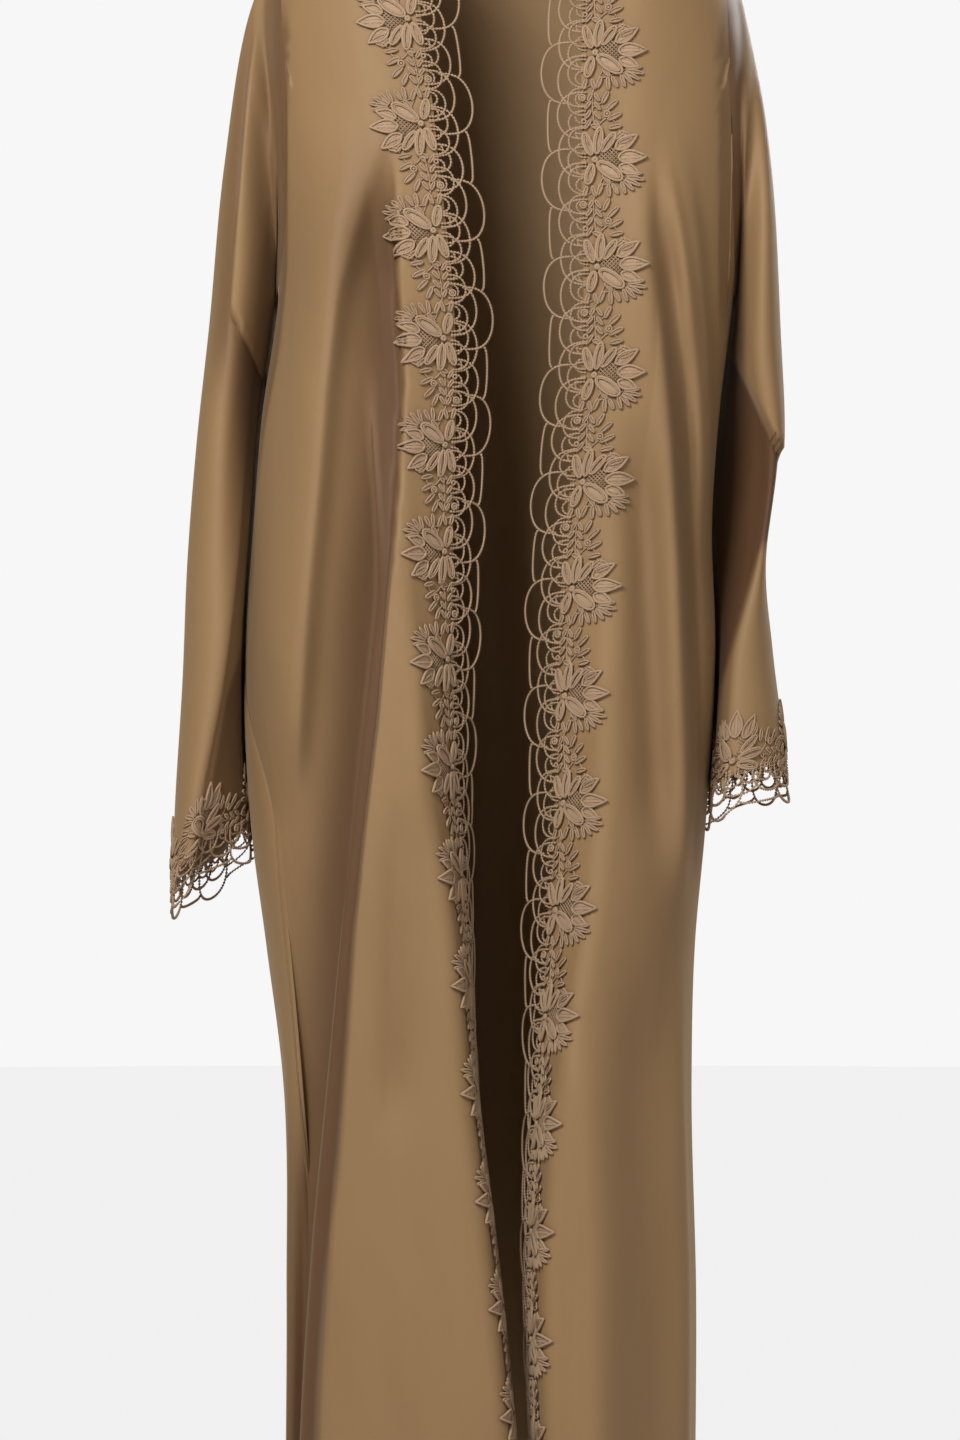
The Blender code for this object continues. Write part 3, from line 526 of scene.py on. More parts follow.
reach = 1 - ease((drops - top_drop) / SETTLE_DROP)
from_back = back_line(drops) + (top_angle - back_line(top_drop)) * reach
from_back[:, 0] -= SEAM_TUCK
from_back[:, -1] += SEAM_TUCK
back_points = cloth(turned_round(from_back), drops)
inward = np.zeros(BACK_COLUMNS)
inward[[0, 1, -2, -1]] = SEAM_UNDER * np.array((1, SEAM_NEXT, SEAM_NEXT, 1))
towards = np.cross(np.gradient(back_points, axis=0), np.gradient(back_points, axis=1))
middle = back_points.mean(axis=1, keepdims=True)
towards *= np.sign(((middle - back_points) * towards).sum(axis=-1, keepdims=True))
towards /= np.linalg.norm(towards, axis=-1, keepdims=True)
inward = inward * ease((drops - top_drop) / SEAM_START)
lapped = ease((drops - LAP_DROP) / LAP_FADE)
back_points = creases(-1, back_points + towards * inward[..., None], lapped)
behind = ease((back_points[..., 1] - BACK_FOLD_START) / BACK_FOLD_SOFT)
back_points[..., 1] += along_lines(RIDGES, 0, back_points) * behind
in_front = back_points[..., 1] < -BACK_FOLD_START
# Painted shade on the back cloth where it wraps round to the front.
back_painted_shade = along_lines(PAINTED_SHADE_LINES, -1, back_points) * in_front * lapped
back_cloth = panel("back_cloth", back_points, flat_sizes(back_points), back_painted_shade)
back_cloth.data.materials.append(tan_crepe)
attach(back_cloth, "root")
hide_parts("back")

# The two fronts: each runs from the side seam over a soft ridge and a deep fold to an edge that
# turns in lower down, where the lace is sewn.
BAND_ON_CLOTH = 0.057
LACE_START = 0.008
EDGE_STRIP = BAND_ON_CLOTH + LACE_START
FRONT_ROWS = 170
STRIP_COLUMNS = 18
ARMHOLE_END = 0.8
FRONT_COLUMNS = (
    ("first", "last", "columns"),
    (0, ARMHOLE_END, 21),
    (ARMHOLE_END, 1, 7),
    (1, 2, 49),
    (2, 3, 35),
)
ARMHOLE_ORDER = 0.012
ORDER_START = 0.3
NO_EDGE = 9.0
SEAM_ROUNDS = 8
SIDE_FREE = 0.35
# Painted shade laid down the fronts' side seam edge.
SEAM_PAINTED_SHADE = 0.60


def edge_strip(side, along, drop):
    """A point of a front's edge strip, a distance past its start, which turns in lower down."""
    angle = line_angle(side, "strip", drop)
    x, y = body(angle, drop)
    ahead_x, ahead_y = outline(angle - side * SMALL_TURN, drop)
    flat_x, flat_y = outline(angle, drop)
    first = np.arctan2(ahead_y - flat_y, -side * (ahead_x - flat_x))
    last = np.radians(read(LINES[side], "turn", drop))
    bend = read(LINES[side], "bend", drop)
    curved = np.clip(np.minimum(along, bend * (last - first)), 0.0, None)
    now = first + curved / bend
    straight = along - curved
    x = x - side * (bend * (np.sin(now) - np.sin(first)) + straight * np.cos(now))
    y = y + bend * (np.cos(first) - np.cos(now)) + straight * np.sin(now)
    return point(x, y, drop)


def front_angle(side, places, drop):
    """Angle between the named lines: 0 is the side seam, 1 and 2 the folds, 3 the strip."""
    marks = [line_angle(side, name, drop) for name in ("side", "outer", "inner", "strip")]
    low = np.clip(places.astype(int), 0, 2)
    part = places - low
    start = np.choose(low, marks[:3])
    end = np.choose(low, marks[1:])
    return start + (end - start) * part


def inside_armhole(side, angles, drops, places):
    """Keeps the cloth that hangs past the scooped armhole on the inner side of its edge."""
    edge_angle, edge_drop = armhole(side, np.radians(np.linspace(0, 180, 91)))
    order = np.argsort(edge_drop)
    edge = np.interp(drops, edge_drop[order], np.abs(edge_angle[order]), left=NO_EDGE, right=NO_EDGE)
    edge = edge - ARMHOLE_ORDER * np.clip(places - ORDER_START, 0, None)
    upper = (places > ORDER_START) & (np.abs(angles) > edge)
    return np.where(upper, np.sign(angles) * edge, angles)


def front_points(side):
    """Points of one front, rows first, from its side seam to the edge under the lace."""
    runs = [np.linspace(first, last, count)[:-1] for first, last, count in FRONT_COLUMNS[1:]]
    places = np.concatenate(runs)
    on_armhole = places <= ARMHOLE_END
    turn = np.radians(180 * np.clip(1 - places / ARMHOLE_END, 0, 1))
    arm_angle, arm_drop = armhole(side, turn)
    start = np.full_like(places, START_DROP)
    free_angle = front_angle(side, places, start)
    far = np.clip((1 - places) / (1 - ARMHOLE_END), 0, 1)
    free_angle = free_angle + (arm_angle - free_angle) * far * ~on_armhole
    free_drop = seam_drop(body(free_angle, start)[0])
    top_angle = np.where(on_armhole, arm_angle, free_angle)
    top_drop = np.where(on_armhole, arm_drop, free_drop)
    for _ in range(SEAM_ROUNDS):
        now_angle = np.where(places < 1, top_angle, front_angle(side, places, top_drop))
        top_drop = np.where(on_armhole, arm_drop, seam_drop(body(now_angle, top_drop)[0]))
    drops = column_drops(top_drop, FRONT_ROWS)
    wide = np.broadcast_to(places, drops.shape)
    reach = 1 - ease((drops - top_drop) / SETTLE_DROP)
    offset = np.where(places < 1, top_angle - front_angle(side, places, top_drop), 0.0)
    angles = front_angle(side, wide, drops) + offset * reach
    angles[:, 0] -= side * SEAM_GAP_ANGLE
    angles[1:] = inside_armhole(side, angles[1:], drops[1:], places)
    main = cloth(angles, drops)
    alongs = np.linspace(0.0, EDGE_STRIP, STRIP_COLUMNS)
    strip_top = seam_drop(edge_strip(side, alongs, np.full_like(alongs, START_DROP))[:, 0])
    for _ in range(SEAM_ROUNDS):
        strip_top = seam_drop(edge_strip(side, alongs, strip_top)[:, 0])
    strip_drops = column_drops(strip_top, FRONT_ROWS)
    strip = edge_strip(side, np.broadcast_to(alongs, strip_drops.shape), strip_drops)
    from_side = np.concatenate([ease(places / SIDE_FREE), np.ones_like(alongs)])
    all_drops = np.concatenate([drops, strip_drops], axis=1)
    lap = ease((all_drops - LAP_DROP) / LAP_FADE)
    return creases(side, np.concatenate([main, strip], axis=1), np.maximum(from_side, lap))


for side, name in ((-1, "front_right"), (1, "front_left")):
    points = front_points(side)
    uv = flat_sizes(points)
    if side > 0:
        points = points[:, ::-1]
        uv = uv[:, ::-1]
    # Painted shade along the valley lines, and a band of painted shade down the side seam edge.
    painted_shade = along_lines(PAINTED_SHADE_LINES, side, points)
    painted_shade[:, -1 if side > 0 else 0] = SEAM_PAINTED_SHADE
    front = panel(name + "_cloth", points, uv, painted_shade)
    front.data.materials.append(tan_crepe)
    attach(front, "root")
    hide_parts(name)

# The sleeves: wide tubes from the deep armhole to an open cuff, flattened front to back, whose
# upper cloth hangs over the lower.
NEG_SLEEVE = (
    ("step", "out_x", "out_drop", "in_x", "in_drop", "ridge_x", "mid_y", "deep", "in_y"),
    (0.00, 0.190, 0.055, 0.197, 0.362, 0.195, 0.000, 0.057, 0.000),
    (0.10, 0.220, 0.117, 0.197, 0.386, 0.203, 0.001, 0.066, 0.034),
    (0.25, 0.244, 0.257, 0.191, 0.425, 0.210, 0.000, 0.070, 0.056),
    (0.40, 0.257, 0.396, 0.197, 0.480, 0.220, -0.002, 0.073, 0.066),
    (0.52, 0.268, 0.500, 0.203, 0.550, 0.226, -0.005, 0.076, 0.062),
    (0.64, 0.276, 0.605, 0.210, 0.625, 0.232, -0.008, 0.080, 0.064),
    (0.76, 0.280, 0.709, 0.212, 0.705, 0.242, -0.012, 0.084, 0.064),
    (0.88, 0.286, 0.813, 0.208, 0.775, 0.258, -0.016, 0.088, 0.064),
    (1.00, 0.288, 0.885, 0.205, 0.830, 0.268, -0.018, 0.090, 0.064),
)
POS_SLEEVE = (
    ("step", "out_x", "out_drop", "in_x", "in_drop", "ridge_x", "mid_y", "deep", "in_y"),
    (0.00, 0.190, 0.055, 0.203, 0.362, 0.200, 0.000, 0.057, 0.000),
    (0.10, 0.209, 0.117, 0.199, 0.386, 0.207, 0.001, 0.066, 0.034),
    (0.25, 0.231, 0.257, 0.190, 0.420, 0.212, 0.000, 0.070, 0.056),
    (0.40, 0.239, 0.396, 0.184, 0.470, 0.218, 0.000, 0.073, 0.066),
    (0.52, 0.241, 0.500, 0.174, 0.540, 0.230, 0.004, 0.074, 0.062),
    (0.64, 0.230, 0.600, 0.171, 0.612, 0.220, 0.004, 0.076, 0.064),
    (0.76, 0.236, 0.680, 0.169, 0.680, 0.202, -0.002, 0.080, 0.064),
    (0.88, 0.243, 0.740, 0.167, 0.752, 0.196, -0.008, 0.084, 0.064),
    (1.00, 0.247, 0.782, 0.166, 0.808, 0.194, -0.012, 0.088, 0.064),
)
SLEEVES = {-1: NEG_SLEEVE, 1: POS_SLEEVE}
SLEEVE_KEEP = 0.22
SLEEVE_POINT = 0.45
SIDE_CLEAR = 0.0045
SIDE_SOFT = 0.004
SIDE_START = 0.10
ARMHOLE_TUCK = 0.0030
ARMHOLE_LAP = 0.045
ARMHOLE_STEP = 0.05
TUCK_ASIDE = 0.8
TUCK_BACK = 0.6
VALLEY_OFF = 0.004
VALLEY_NEAR = 0.012
VALLEY_FULL = 0.07
VALLEY_END = 0.45
VALLEY_FADE = 0.3
VALLEY_DEEP = {-1: 0.036, 1: 0.026}
VALLEY_WIDE = {-1: 0.020, 1: 0.013}
UPPER_LIFT = {-1: 0.017, 1: 0.018}
UPPER_EDGE = {-1: (0.452, 0.207, -2.3), 1: (0.412, 0.199, 2.4)}
UPPER_RIM = (0.214, 0.100, 0.075)
UPPER_START = 0.100
UPPER_FULL = 0.220
UPPER_SOFT = 0.004
UPPER_ASIDE = 0.3
UPPER_FIRST = 0.04
UPPER_RISE = 0.08
SLEEVE_COLUMNS = 145
SLEEVE_ROWS = 110


def sleeve_ring(side, turn, step):
    """A point of a sleeve without folds or its join to the armhole."""
    table = SLEEVES[side]
    out_x, in_x = read(table, "out_x", step), read(table, "in_x", step)
    out_drop, in_drop = read(table, "out_drop", step), read(table, "in_drop", step)
    middle, half = (out_x + in_x) / 2, (out_x - in_x) / 2
    pull = (read(table, "ridge_x", step) - middle) * np.clip(np.sin(turn), 0, 1) ** 2
    level = (out_drop + in_drop) / 2 + (out_drop - in_drop) / 2 * np.cos(turn)
    narrow = np.abs(np.cos(turn)) ** (SLEEVE_POINT * ease(step / 0.5))
    x = side * (middle + half * np.cos(turn) * narrow + pull)
    back = read(table, "in_y", step) * (1 - np.cos(turn)) / 2
    y = read(table, "mid_y", step) + back - read(table, "deep", step) * np.sin(turn)
    return np.stack([x, y, -level], axis=-1)


def upper_fold(side, at, front):
    """How far the upper sleeve stands out over the lower one, above a slanted edge."""
    x, drop = np.abs(at[..., 0]), -at[..., 2]
    edge_drop, edge_x, slope = UPPER_EDGE[side]
    above = ease((edge_drop + slope * (x - edge_x) - drop) / (1.6 * UPPER_SOFT) + 0.5)
    begin = ease((drop - UPPER_START) / (UPPER_FULL - UPPER_START))
    inside = 1.0
    if side < 0:
        rim_x, rim_drop, rim_slope = UPPER_RIM
        inside = ease((rim_x + rim_slope * (drop - rim_drop) - x) / UPPER_SOFT + 0.5)
    return UPPER_LIFT[side] * above * begin * inside * front


def clear_of_body(side, at, step):
    """Moves a sleeve's points out past the side of the body, all but its first rings."""
    x, y, drop = side * at[..., 0], at[..., 1], -at[..., 2]
    depth = np.where(y < 0, read(SECTIONS, "front", drop), read(SECTIONS, "back", drop))
    lean = np.clip(np.abs(y) / depth, 0.0, 1.0) ** (1 / FRONT_FLATNESS)
    edge = half_width(side, drop) * np.sqrt(1 - lean**2) + SIDE_CLEAR
    kept = (x + edge + np.hypot(x - edge, SIDE_SOFT)) / 2
    at[..., 0] = side * (x + (kept - x) * ease(step / SIDE_START))
    return at


def sleeve(side, turn, step):
    """A point of a sleeve, which starts on the armhole."""
    ring = sleeve_ring(side, turn, step)
    first = sleeve_ring(side, turn, np.zeros_like(step))
    angle, drop = armhole(side, turn)
    lap = 1 - ease(step / ARMHOLE_STEP)
    fade = 1 - ease(step / SLEEVE_KEEP)
    start = cloth(angle - side * ARMHOLE_LAP * np.sin(turn) * lap, drop)
    at = ring + (start - first) * fade[..., None]
    at = clear_of_body(side, at, step)
    front, outer = np.clip(np.sin(turn), 0, 1), np.clip(np.cos(turn), 0, 1)
    facing_out = ease(np.sin(turn) * 1.4 + 0.3) * ease((step - UPPER_FIRST) / UPPER_RISE)
    at[..., 1] -= upper_fold(side, at, facing_out) * front
    at[..., 0] += side * UPPER_ASIDE * upper_fold(side, at, facing_out) * outer
    beside = np.abs(at[..., 0]) - half_width(side, -at[..., 2]) - VALLEY_OFF
    wide = np.where(beside < 0, VALLEY_NEAR, VALLEY_WIDE[side])
    valley = VALLEY_DEEP[side] * np.exp(-(beside / wide) ** 2) * ease(step / VALLEY_FULL)
    at[..., 1] += valley * (1 - ease((step - VALLEY_END) / VALLEY_FADE)) * front
    at[..., 0] -= side * ARMHOLE_TUCK * lap * TUCK_ASIDE
    at[..., 1] += ARMHOLE_TUCK * lap * TUCK_BACK * np.sin(turn)
    return at


# Shade painted on the sleeves: how dark each kind is, and where it starts, ends and fades.
VALLEY_LINE = {-1: 0.190, 1: 0.2085}
VALLEY_SHADE = {"depth": 0.72, "near": 0.03, "wide": {-1: 0.022, 1: 0.004}, "end": 0.40, "fade": 0.1}
RIM_SHADE = {"depth": 0.62, "edge": 0.003, "wide": 0.020, "start": 0.09, "rise": 0.04, "end": 0.40,
             "fade": 0.08}
UNDER_SHADE = {"depth": 0.85, "edge": 0.006, "wide": 0.13, "beside": 0.222, "fade": 0.030}
INNER_SHADE = {"depth": {-1: 0.72, 1: 0.92}, "edge": {-1: 0.004, 1: 0.006}, "rise": 0.05}
INNER_LINE = {
    -1: ((226, 660), (244, 726), (251, 770), (264, 840), (266, 900)),
    1: ((250, 420), (245, 560), (228, 596), (221, 622), (206, 674), (196, 709), (191, 744), (189, 800)),
}
SHADE_FIRST = 0.05
SHADE_RISE = 0.6


def sleeve_painted_shade(side, at, turn):
    """How much painted shade a point of a sleeve gets: beside the body, and outside and under its upper
    cloth.
    """
    x, drop = np.abs(at[..., 0]), -at[..., 2]
    valley, rim, under, inner = VALLEY_SHADE, RIM_SHADE, UNDER_SHADE, INNER_SHADE
    beside = x - VALLEY_LINE[side]
    wide = np.where(beside < 0, valley["near"], valley["wide"][side])
    shade = valley["depth"] * np.exp(-(beside / wide) ** 2)
    shade = shade * (1 - ease((drop - valley["end"]) / valley["fade"]))
    edge_drop, edge_x, slope = UPPER_EDGE[side]
    below = drop - edge_drop - slope * (x - edge_x)
    lower = ease(below / under["edge"])
    xs, drops = np.array(INNER_LINE[side]).T / 1000
    face = inner["depth"][side] * ease((np.interp(drop, drops, xs) - x) / inner["edge"][side])
    if side < 0:
        rim_x, rim_drop, rim_slope = UPPER_RIM
        beyond = x - rim_x - rim_slope * (drop - rim_drop)
        outside = rim["depth"] * ease(beyond / rim["edge"]) * np.exp(-(beyond / rim["wide"]) ** 2)
        outside = outside * ease((drop - rim["start"]) / rim["rise"])
        outside = outside * (1 - ease((drop - rim["end"]) / rim["fade"]))
        lower = under["depth"] * lower * np.exp(-(np.clip(below, 0, None) / under["wide"]) ** 2)
        lower = lower * (1 - ease((x - under["beside"]) / under["fade"]))
        face = face * ease((drop - drops[0]) / inner["rise"])
        shade = np.maximum.reduce([shade, outside, lower, face])
    else:
        shade = np.maximum(shade, face * lower)
    return np.clip(shade, 0, 1) * ease((np.sin(turn) - SHADE_FIRST) / SHADE_RISE)


for side, name in ((-1, "sleeve_right"), (1, "sleeve_left")):
    turn, step = np.meshgrid(np.linspace(0, 2 * math.pi, SLEEVE_COLUMNS), np.linspace(0, 1, SLEEVE_ROWS))
    points = sleeve(side, turn, step)
    uv = flat_sizes(points)
    painted_shade = sleeve_painted_shade(side, points, turn)
    if side < 0:
        points, uv, painted_shade = points[:, ::-1], uv[:, ::-1], painted_shade[:, ::-1]
    tube = panel(name + "_cloth", points, uv, painted_shade, closed=True)
    tube.data.materials.append(tan_crepe)
    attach(tube, "root")
    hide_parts(name)

# The lace: a guipure trim of satin-stitched flowers and leaves, with beaded cords looped past
# them, made as one long repeat and sewn flat along both front edges and round the cuffs. Sizes
# are in millimetres from the knot of a flower: across is minus towards the petals' tips and
# plus towards the loops, along runs down the repeat.
LACE_REPEAT = 92.5
TIPS_TO_KNOT = 45.0
BEAD_PITCH = 2.7
BEAD_SIZE = 1.40

LEAVES = (
    ("kind", "across", "along", "angle", "length", "width", "height"),
    ("pointed", -19, 2, 178, 26, 13.5, 1.6),
    ("pointed", -20, -5, 201, 20, 11, 0.9),
    ("pointed", -17, 9, 147, 24, 12, 0.9),
    ("slit", -1, -2, 214, 28, 13, 2.0),
    ("slit", 2, -3, 286, 20, 9.5, 1.3),
    ("slit", 3, 3, 72, 22, 9.5, 1.3),
    ("slit", -1, 4, 98, 25, 9.5, 1.9),
    ("slit", -5, 6, 126, 22, 9, 1.4),
    ("finger", -26, -14, 172, 15, 4.2, 1.2),
    ("finger", -26, -15, 190, 17, 4.2, 1.2),
    ("finger", -25, -16, 208, 16, 4.2, 1.2),
    ("finger", -24, -17, 228, 14, 4.2, 1.2),
    ("finger", -22, -18, 251, 13, 4.2, 1.2),
    ("finger", -14, -20, 240, 12, 4.6, 1.0),
    ("finger", -11, -20, 266, 13, 4.6, 1.0),
    ("finger", -6, -20, 292, 12, 4.6, 1.0),
    ("finger", 3, -22, 252, 11, 4.4, 1.0),
    ("finger", 7, -22, 288, 11, 4.4, 1.0),
    ("finger", -11, 27, 168, 13, 4.6, 1.1),
    ("finger", -10, 34, 154, 15, 4.8, 1.1),
    ("finger", -9, 42, 138, 15, 4.8, 1.1),
    ("finger", -6, 48, 118, 13, 4.6, 1.1),
    ("finger", 1, 34, 232, 9, 4.0, 0.9),
    ("finger", 3, 35, 304, 10, 4.0, 0.9),
    ("finger", 1, 42, 230, 10, 4.0, 0.9),
    ("finger", 3, 43, 306, 10, 4.0, 0.9),
    ("finger", 1, 50, 230, 10, 4.0, 0.9),
    ("finger", 3, 51, 308, 10, 4.0, 0.9),
    ("finger", 1, 58, 234, 10, 4.0, 0.9),
    ("finger", 2, 58, 300, 9, 4.0, 0.9),
    ("finger", -20, 14, 156, 14, 4.6, 1.0),
    ("finger", -16, 17, 140, 13, 4.6, 1.0),
    ("finger", -20, 24, 196, 11, 4.6, 1.0),
    ("finger", 4, 30, 200, 12, 5.0, 1.2),
    ("finger", 6, -8, 262, 13, 5.0, 1.2),
    ("finger", -6, -12, 232, 12, 5.0, 1.4),
    ("finger", 6, 22, 264, 10, 4.6, 1.1),
)
LEAF_CORDS = {"finger": (0.85, 6), "slit": (1.15, 9), "pointed": (1.1, 10)}
SLIT_RAISED = 0.7
SLIT_INSET = 2.0
VEIN_START = 3.0
VEIN_LENGTH = 0.74
VEIN_ASIDE = 1.5
VEIN_RAISED = 0.5
VEIN_THICK = 0.75
VEIN_PITCH = 2.5
RINGS = (
    ("across", "along", "size", "thick"),
    (0, 0, 1.6, 1.5),
    (-10.5, 39.5, 2.6, 0.8),
    (-10.5, 39.5, 0.6, 0.7),
    (11.0, 53.5, 2.8, 0.85),
    (10.8, 53.5, 1.0, 0.7),
    (-20.5, -16.5, 1.8, 0.8),
    (9.5, 33.0, 1.8, 0.8),
)
NET = {"across": -12.5, "along": 1.0, "radius": 9.5, "mesh": 2.5, "height": 1.7, "thick": 0.42}
STEMS = (
    ((0, 0), (-3, 14), (-1, 27), (1, 36), (2, 45), (2, 58), (-3, 70), (-7, 78), (-4, 86), (0, 92.5)),
    ((-1, 27), (-6, 33), (-10, 36), (-16, 34), (-20, 28)),
    ((2, 45), (-4, 48), (-9, 52), (-12, 58)),
    ((2, 50), (8, 50), (12, 56), (9, 62), (4, 64)),
    ((-3, 70), (-12, 72), (-20, 76), (-26, 78)),
    ((-14, 5), (-18, 12), (-22, 18), (-21, 26)),
)
STEM_THICK = 0.75
BEADED_ARCS = (
    ("start", "end", "foot", "reach", "height"),
    (-44, 9, 20, 46.0, 0.9),
    (7, 51, 37, 40.5, 0.9),
    (-47, -3, 7, 31.5, 1.4),
    (-15, 28, 7, 31.0, 0.9),
    (18, 58, 7, 32.0, 1.5),
    (-30, -6, 7, 23.0, 1.9),
    (-13, 11, 7, 23.0, 1.5),
    (5, 27, 7, 22.5, 2.0),
    (22, 42, 7, 22.5, 1.0),
    (38, 62, 7, 23.0, 1.9),
    (-28, -16, 7, 16.5, 1.0),
    (-14, -2, 7, 16.0, 1.0),
    (2, 14, 7, 16.5, 1.0),
    (17, 29, 7, 16.5, 1.2),
    (31, 42, 7, 16.5, 1.1),
    (46, 58, 7, 16.5, 1.0),
)


def new_cords(name, sides):
    """An empty set of round cords, whose radii are given in millimetres."""
    cords = bpy.data.curves.new(name, "CURVE")
    cords.dimensions = "3D"
    cords.bevel_depth = 0.001
    cords.bevel_resolution = sides // 2 - 2
    cords.use_fill_caps = True
    return cords


def add_cord(cords, across, along, height, thick, closed=False):
    """One cord of the lace through points in millimetres."""
    spline = cords.splines.new("POLY")
    spline.points.add(len(across) - 1)
    thick = np.broadcast_to(thick, np.shape(across))
    flat = np.stack([across, along, height, np.full(len(across), 1000.0)], axis=-1) / 1000.0
    spline.points.foreach_set("co", flat.ravel())
    spline.points.foreach_set("radius", np.array(thick, dtype=float))
    spline.use_cyclic_u = closed


def turned(base, angle, forward, aside):
    """Points at distances forward and aside of a leaf's own line."""
    way = math.radians(angle)
    across = base[0] + forward * math.cos(way) - aside * math.sin(way)
    along = base[1] + forward * math.sin(way) + aside * math.cos(way)
    return across, along


def leaf_loop(cords, base, angle, length, width, thick, height, pointed, inset=0.0, steps=7):
    """A closed cord round a leaf, raised in its middle."""
    t = (1 - np.cos(np.linspace(0, math.pi, steps))) / 2
    half = (width / 2 - thick - inset) * (np.sin(math.pi * t**0.72) if pointed else np.sqrt(4 * t * (1 - t)))
    start = thick + inset
    forward = start + (length - start - thick - 1.3 * inset) * t
    forward = np.concatenate([forward, forward[-2:0:-1]])
    aside = np.concatenate([half, -half[-2:0:-1]])
    raised = height + thick * 0.7 + 0.5 * np.sin(math.pi * forward / length)
    across, along = turned(base, angle, forward, aside)
    add_cord(cords, across, along, raised, thick, closed=True)


def bead_line(cords, across, along, height, size, pitch):
    """A row of touching beads along a path."""
    steps = np.hypot(np.diff(across), np.diff(along))
    length = np.concatenate([[0.0], np.cumsum(steps)])
    count = max(2, int(round(length[-1] / pitch)))
    at = np.linspace(0.0, length[-1], 2 * count + 1)
    thick = np.where(np.arange(2 * count + 1) % 2 == 1, size, 0.3 * size)
    raised = np.interp(at, length, np.broadcast_to(height, length.shape))
    add_cord(cords, np.interp(at, length, across), np.interp(at, length, along), raised, thick)


round_cords = new_cords("round_cords", 6)
thin_cords = new_cords("thin_cords", 4)
beaded_cords = new_cords("beaded_cords", 6)
thin_beads = new_cords("thin_beads", 4)
for kind, across, along, angle, length, width, height in LEAVES[1:]:
    base = (across, along)
    thick, steps = LEAF_CORDS[kind]
    leaf_loop(thin_cords if kind == "finger" else round_cords, base, angle, length, width, thick,
              height, kind == "pointed", steps=steps)
    if kind == "slit":
        leaf_loop(thin_cords, base, angle, length, width, VEIN_THICK, height + SLIT_RAISED, False,
                  inset=SLIT_INSET)
    if kind == "pointed":
        for aside in (-VEIN_ASIDE, VEIN_ASIDE):
            forward = np.linspace(VEIN_START, length * VEIN_LENGTH, 8)
            path = turned(base, angle, forward, aside * (1.15 - 0.5 * forward / length))
            bead_line(thin_cords, *path, height + VEIN_RAISED, VEIN_THICK, VEIN_PITCH)
for across, along, size, thick in RINGS[1:]:
    turn = np.arange(8) * math.pi / 4
    add_cord(round_cords, across + size * np.cos(turn), along + size * np.sin(turn),
             np.full(8, 2.0 + thick * 0.6), thick, closed=True)
for lean in (1, -1):
    for k in range(-3, 4):
        offset = k * NET["mesh"]
        reach = math.sqrt(NET["radius"] ** 2 - offset**2)
        ends = np.array([-reach, reach]) * math.sqrt(0.5)
        shift = offset * math.sqrt(0.5)
        add_cord(thin_cords, NET["across"] + ends - lean * shift, NET["along"] + lean * ends + shift,
                 np.full(2, NET["height"] + 0.3 * lean), NET["thick"])
for stem in STEMS:
    across, along = np.array(stem, dtype=float).T
    add_cord(thin_cords, across, along, np.full(len(stem), 0.9), STEM_THICK)
for start, end, foot, reach, height in BEADED_ARCS[1:]:
    t = np.linspace(0, 1, 41)
    belly = foot + (reach - foot) * np.sin(math.pi * t) ** 0.62
    bead_line(beaded_cords if reach > 25 else thin_beads, belly,
              start + (end - start) * (1 - np.cos(math.pi * t)) / 2, height, BEAD_SIZE, BEAD_PITCH)

flowers = bmesh.new()
for kind, across, along, angle, length, width, height in LEAVES[1:]:
    segments = 6 if kind == "finger" else 8
    petal = bmesh.ops.create_uvsphere(flowers, u_segments=segments, v_segments=segments - 2, radius=1.0)
    for v in petal["verts"]:
        aside, up, forward = v.co
        share = (1 + forward) / 2
        if kind == "pointed":
            aside *= (1 - forward * 0.45) * (1 - 0.3 * forward**2)
        if kind == "slit":
            up *= 0.6 + 0.8 * abs(aside)
        x, y = turned((across, along), angle, 0.8 + (length - 2.0) * share, aside * (width / 2 - 0.7))
        v.co = (x / 1000, y / 1000, (height - 0.1 + 0.8 * up) / 1000)
loops = bmesh.new()
for cords, kept in ((round_cords, flowers), (thin_cords, flowers), (beaded_cords, loops),
                    (thin_beads, loops)):
    shaper = new_object(cords.name, cords)
    bpy.context.view_layer.update()
    made = bpy.data.meshes.new_from_object(shaper.evaluated_get(bpy.context.evaluated_depsgraph_get()))
    kept.from_mesh(made)
    bpy.data.objects.remove(shaper)
    bpy.data.meshes.remove(made)
    bpy.data.curves.remove(cords)
for kept in (flowers, loops):
    bmesh.ops.remove_doubles(kept, verts=kept.verts, dist=1e-7)
    bmesh.ops.translate(kept, verts=kept.verts, vec=(TIPS_TO_KNOT / 1000, 0, 0))


LACE_DARK = (0.330, 0.218, 0.135, 1.0)
LACE_LIGHT = (0.410, 0.280, 0.178, 1.0)
lace_thread = fabric("lace_thread", LACE_DARK, LACE_LIGHT, CREPE_PAINTED_SHADE, 900.0, 0.45, 0.75, "Object")
LACE_LIFT = 0.0001


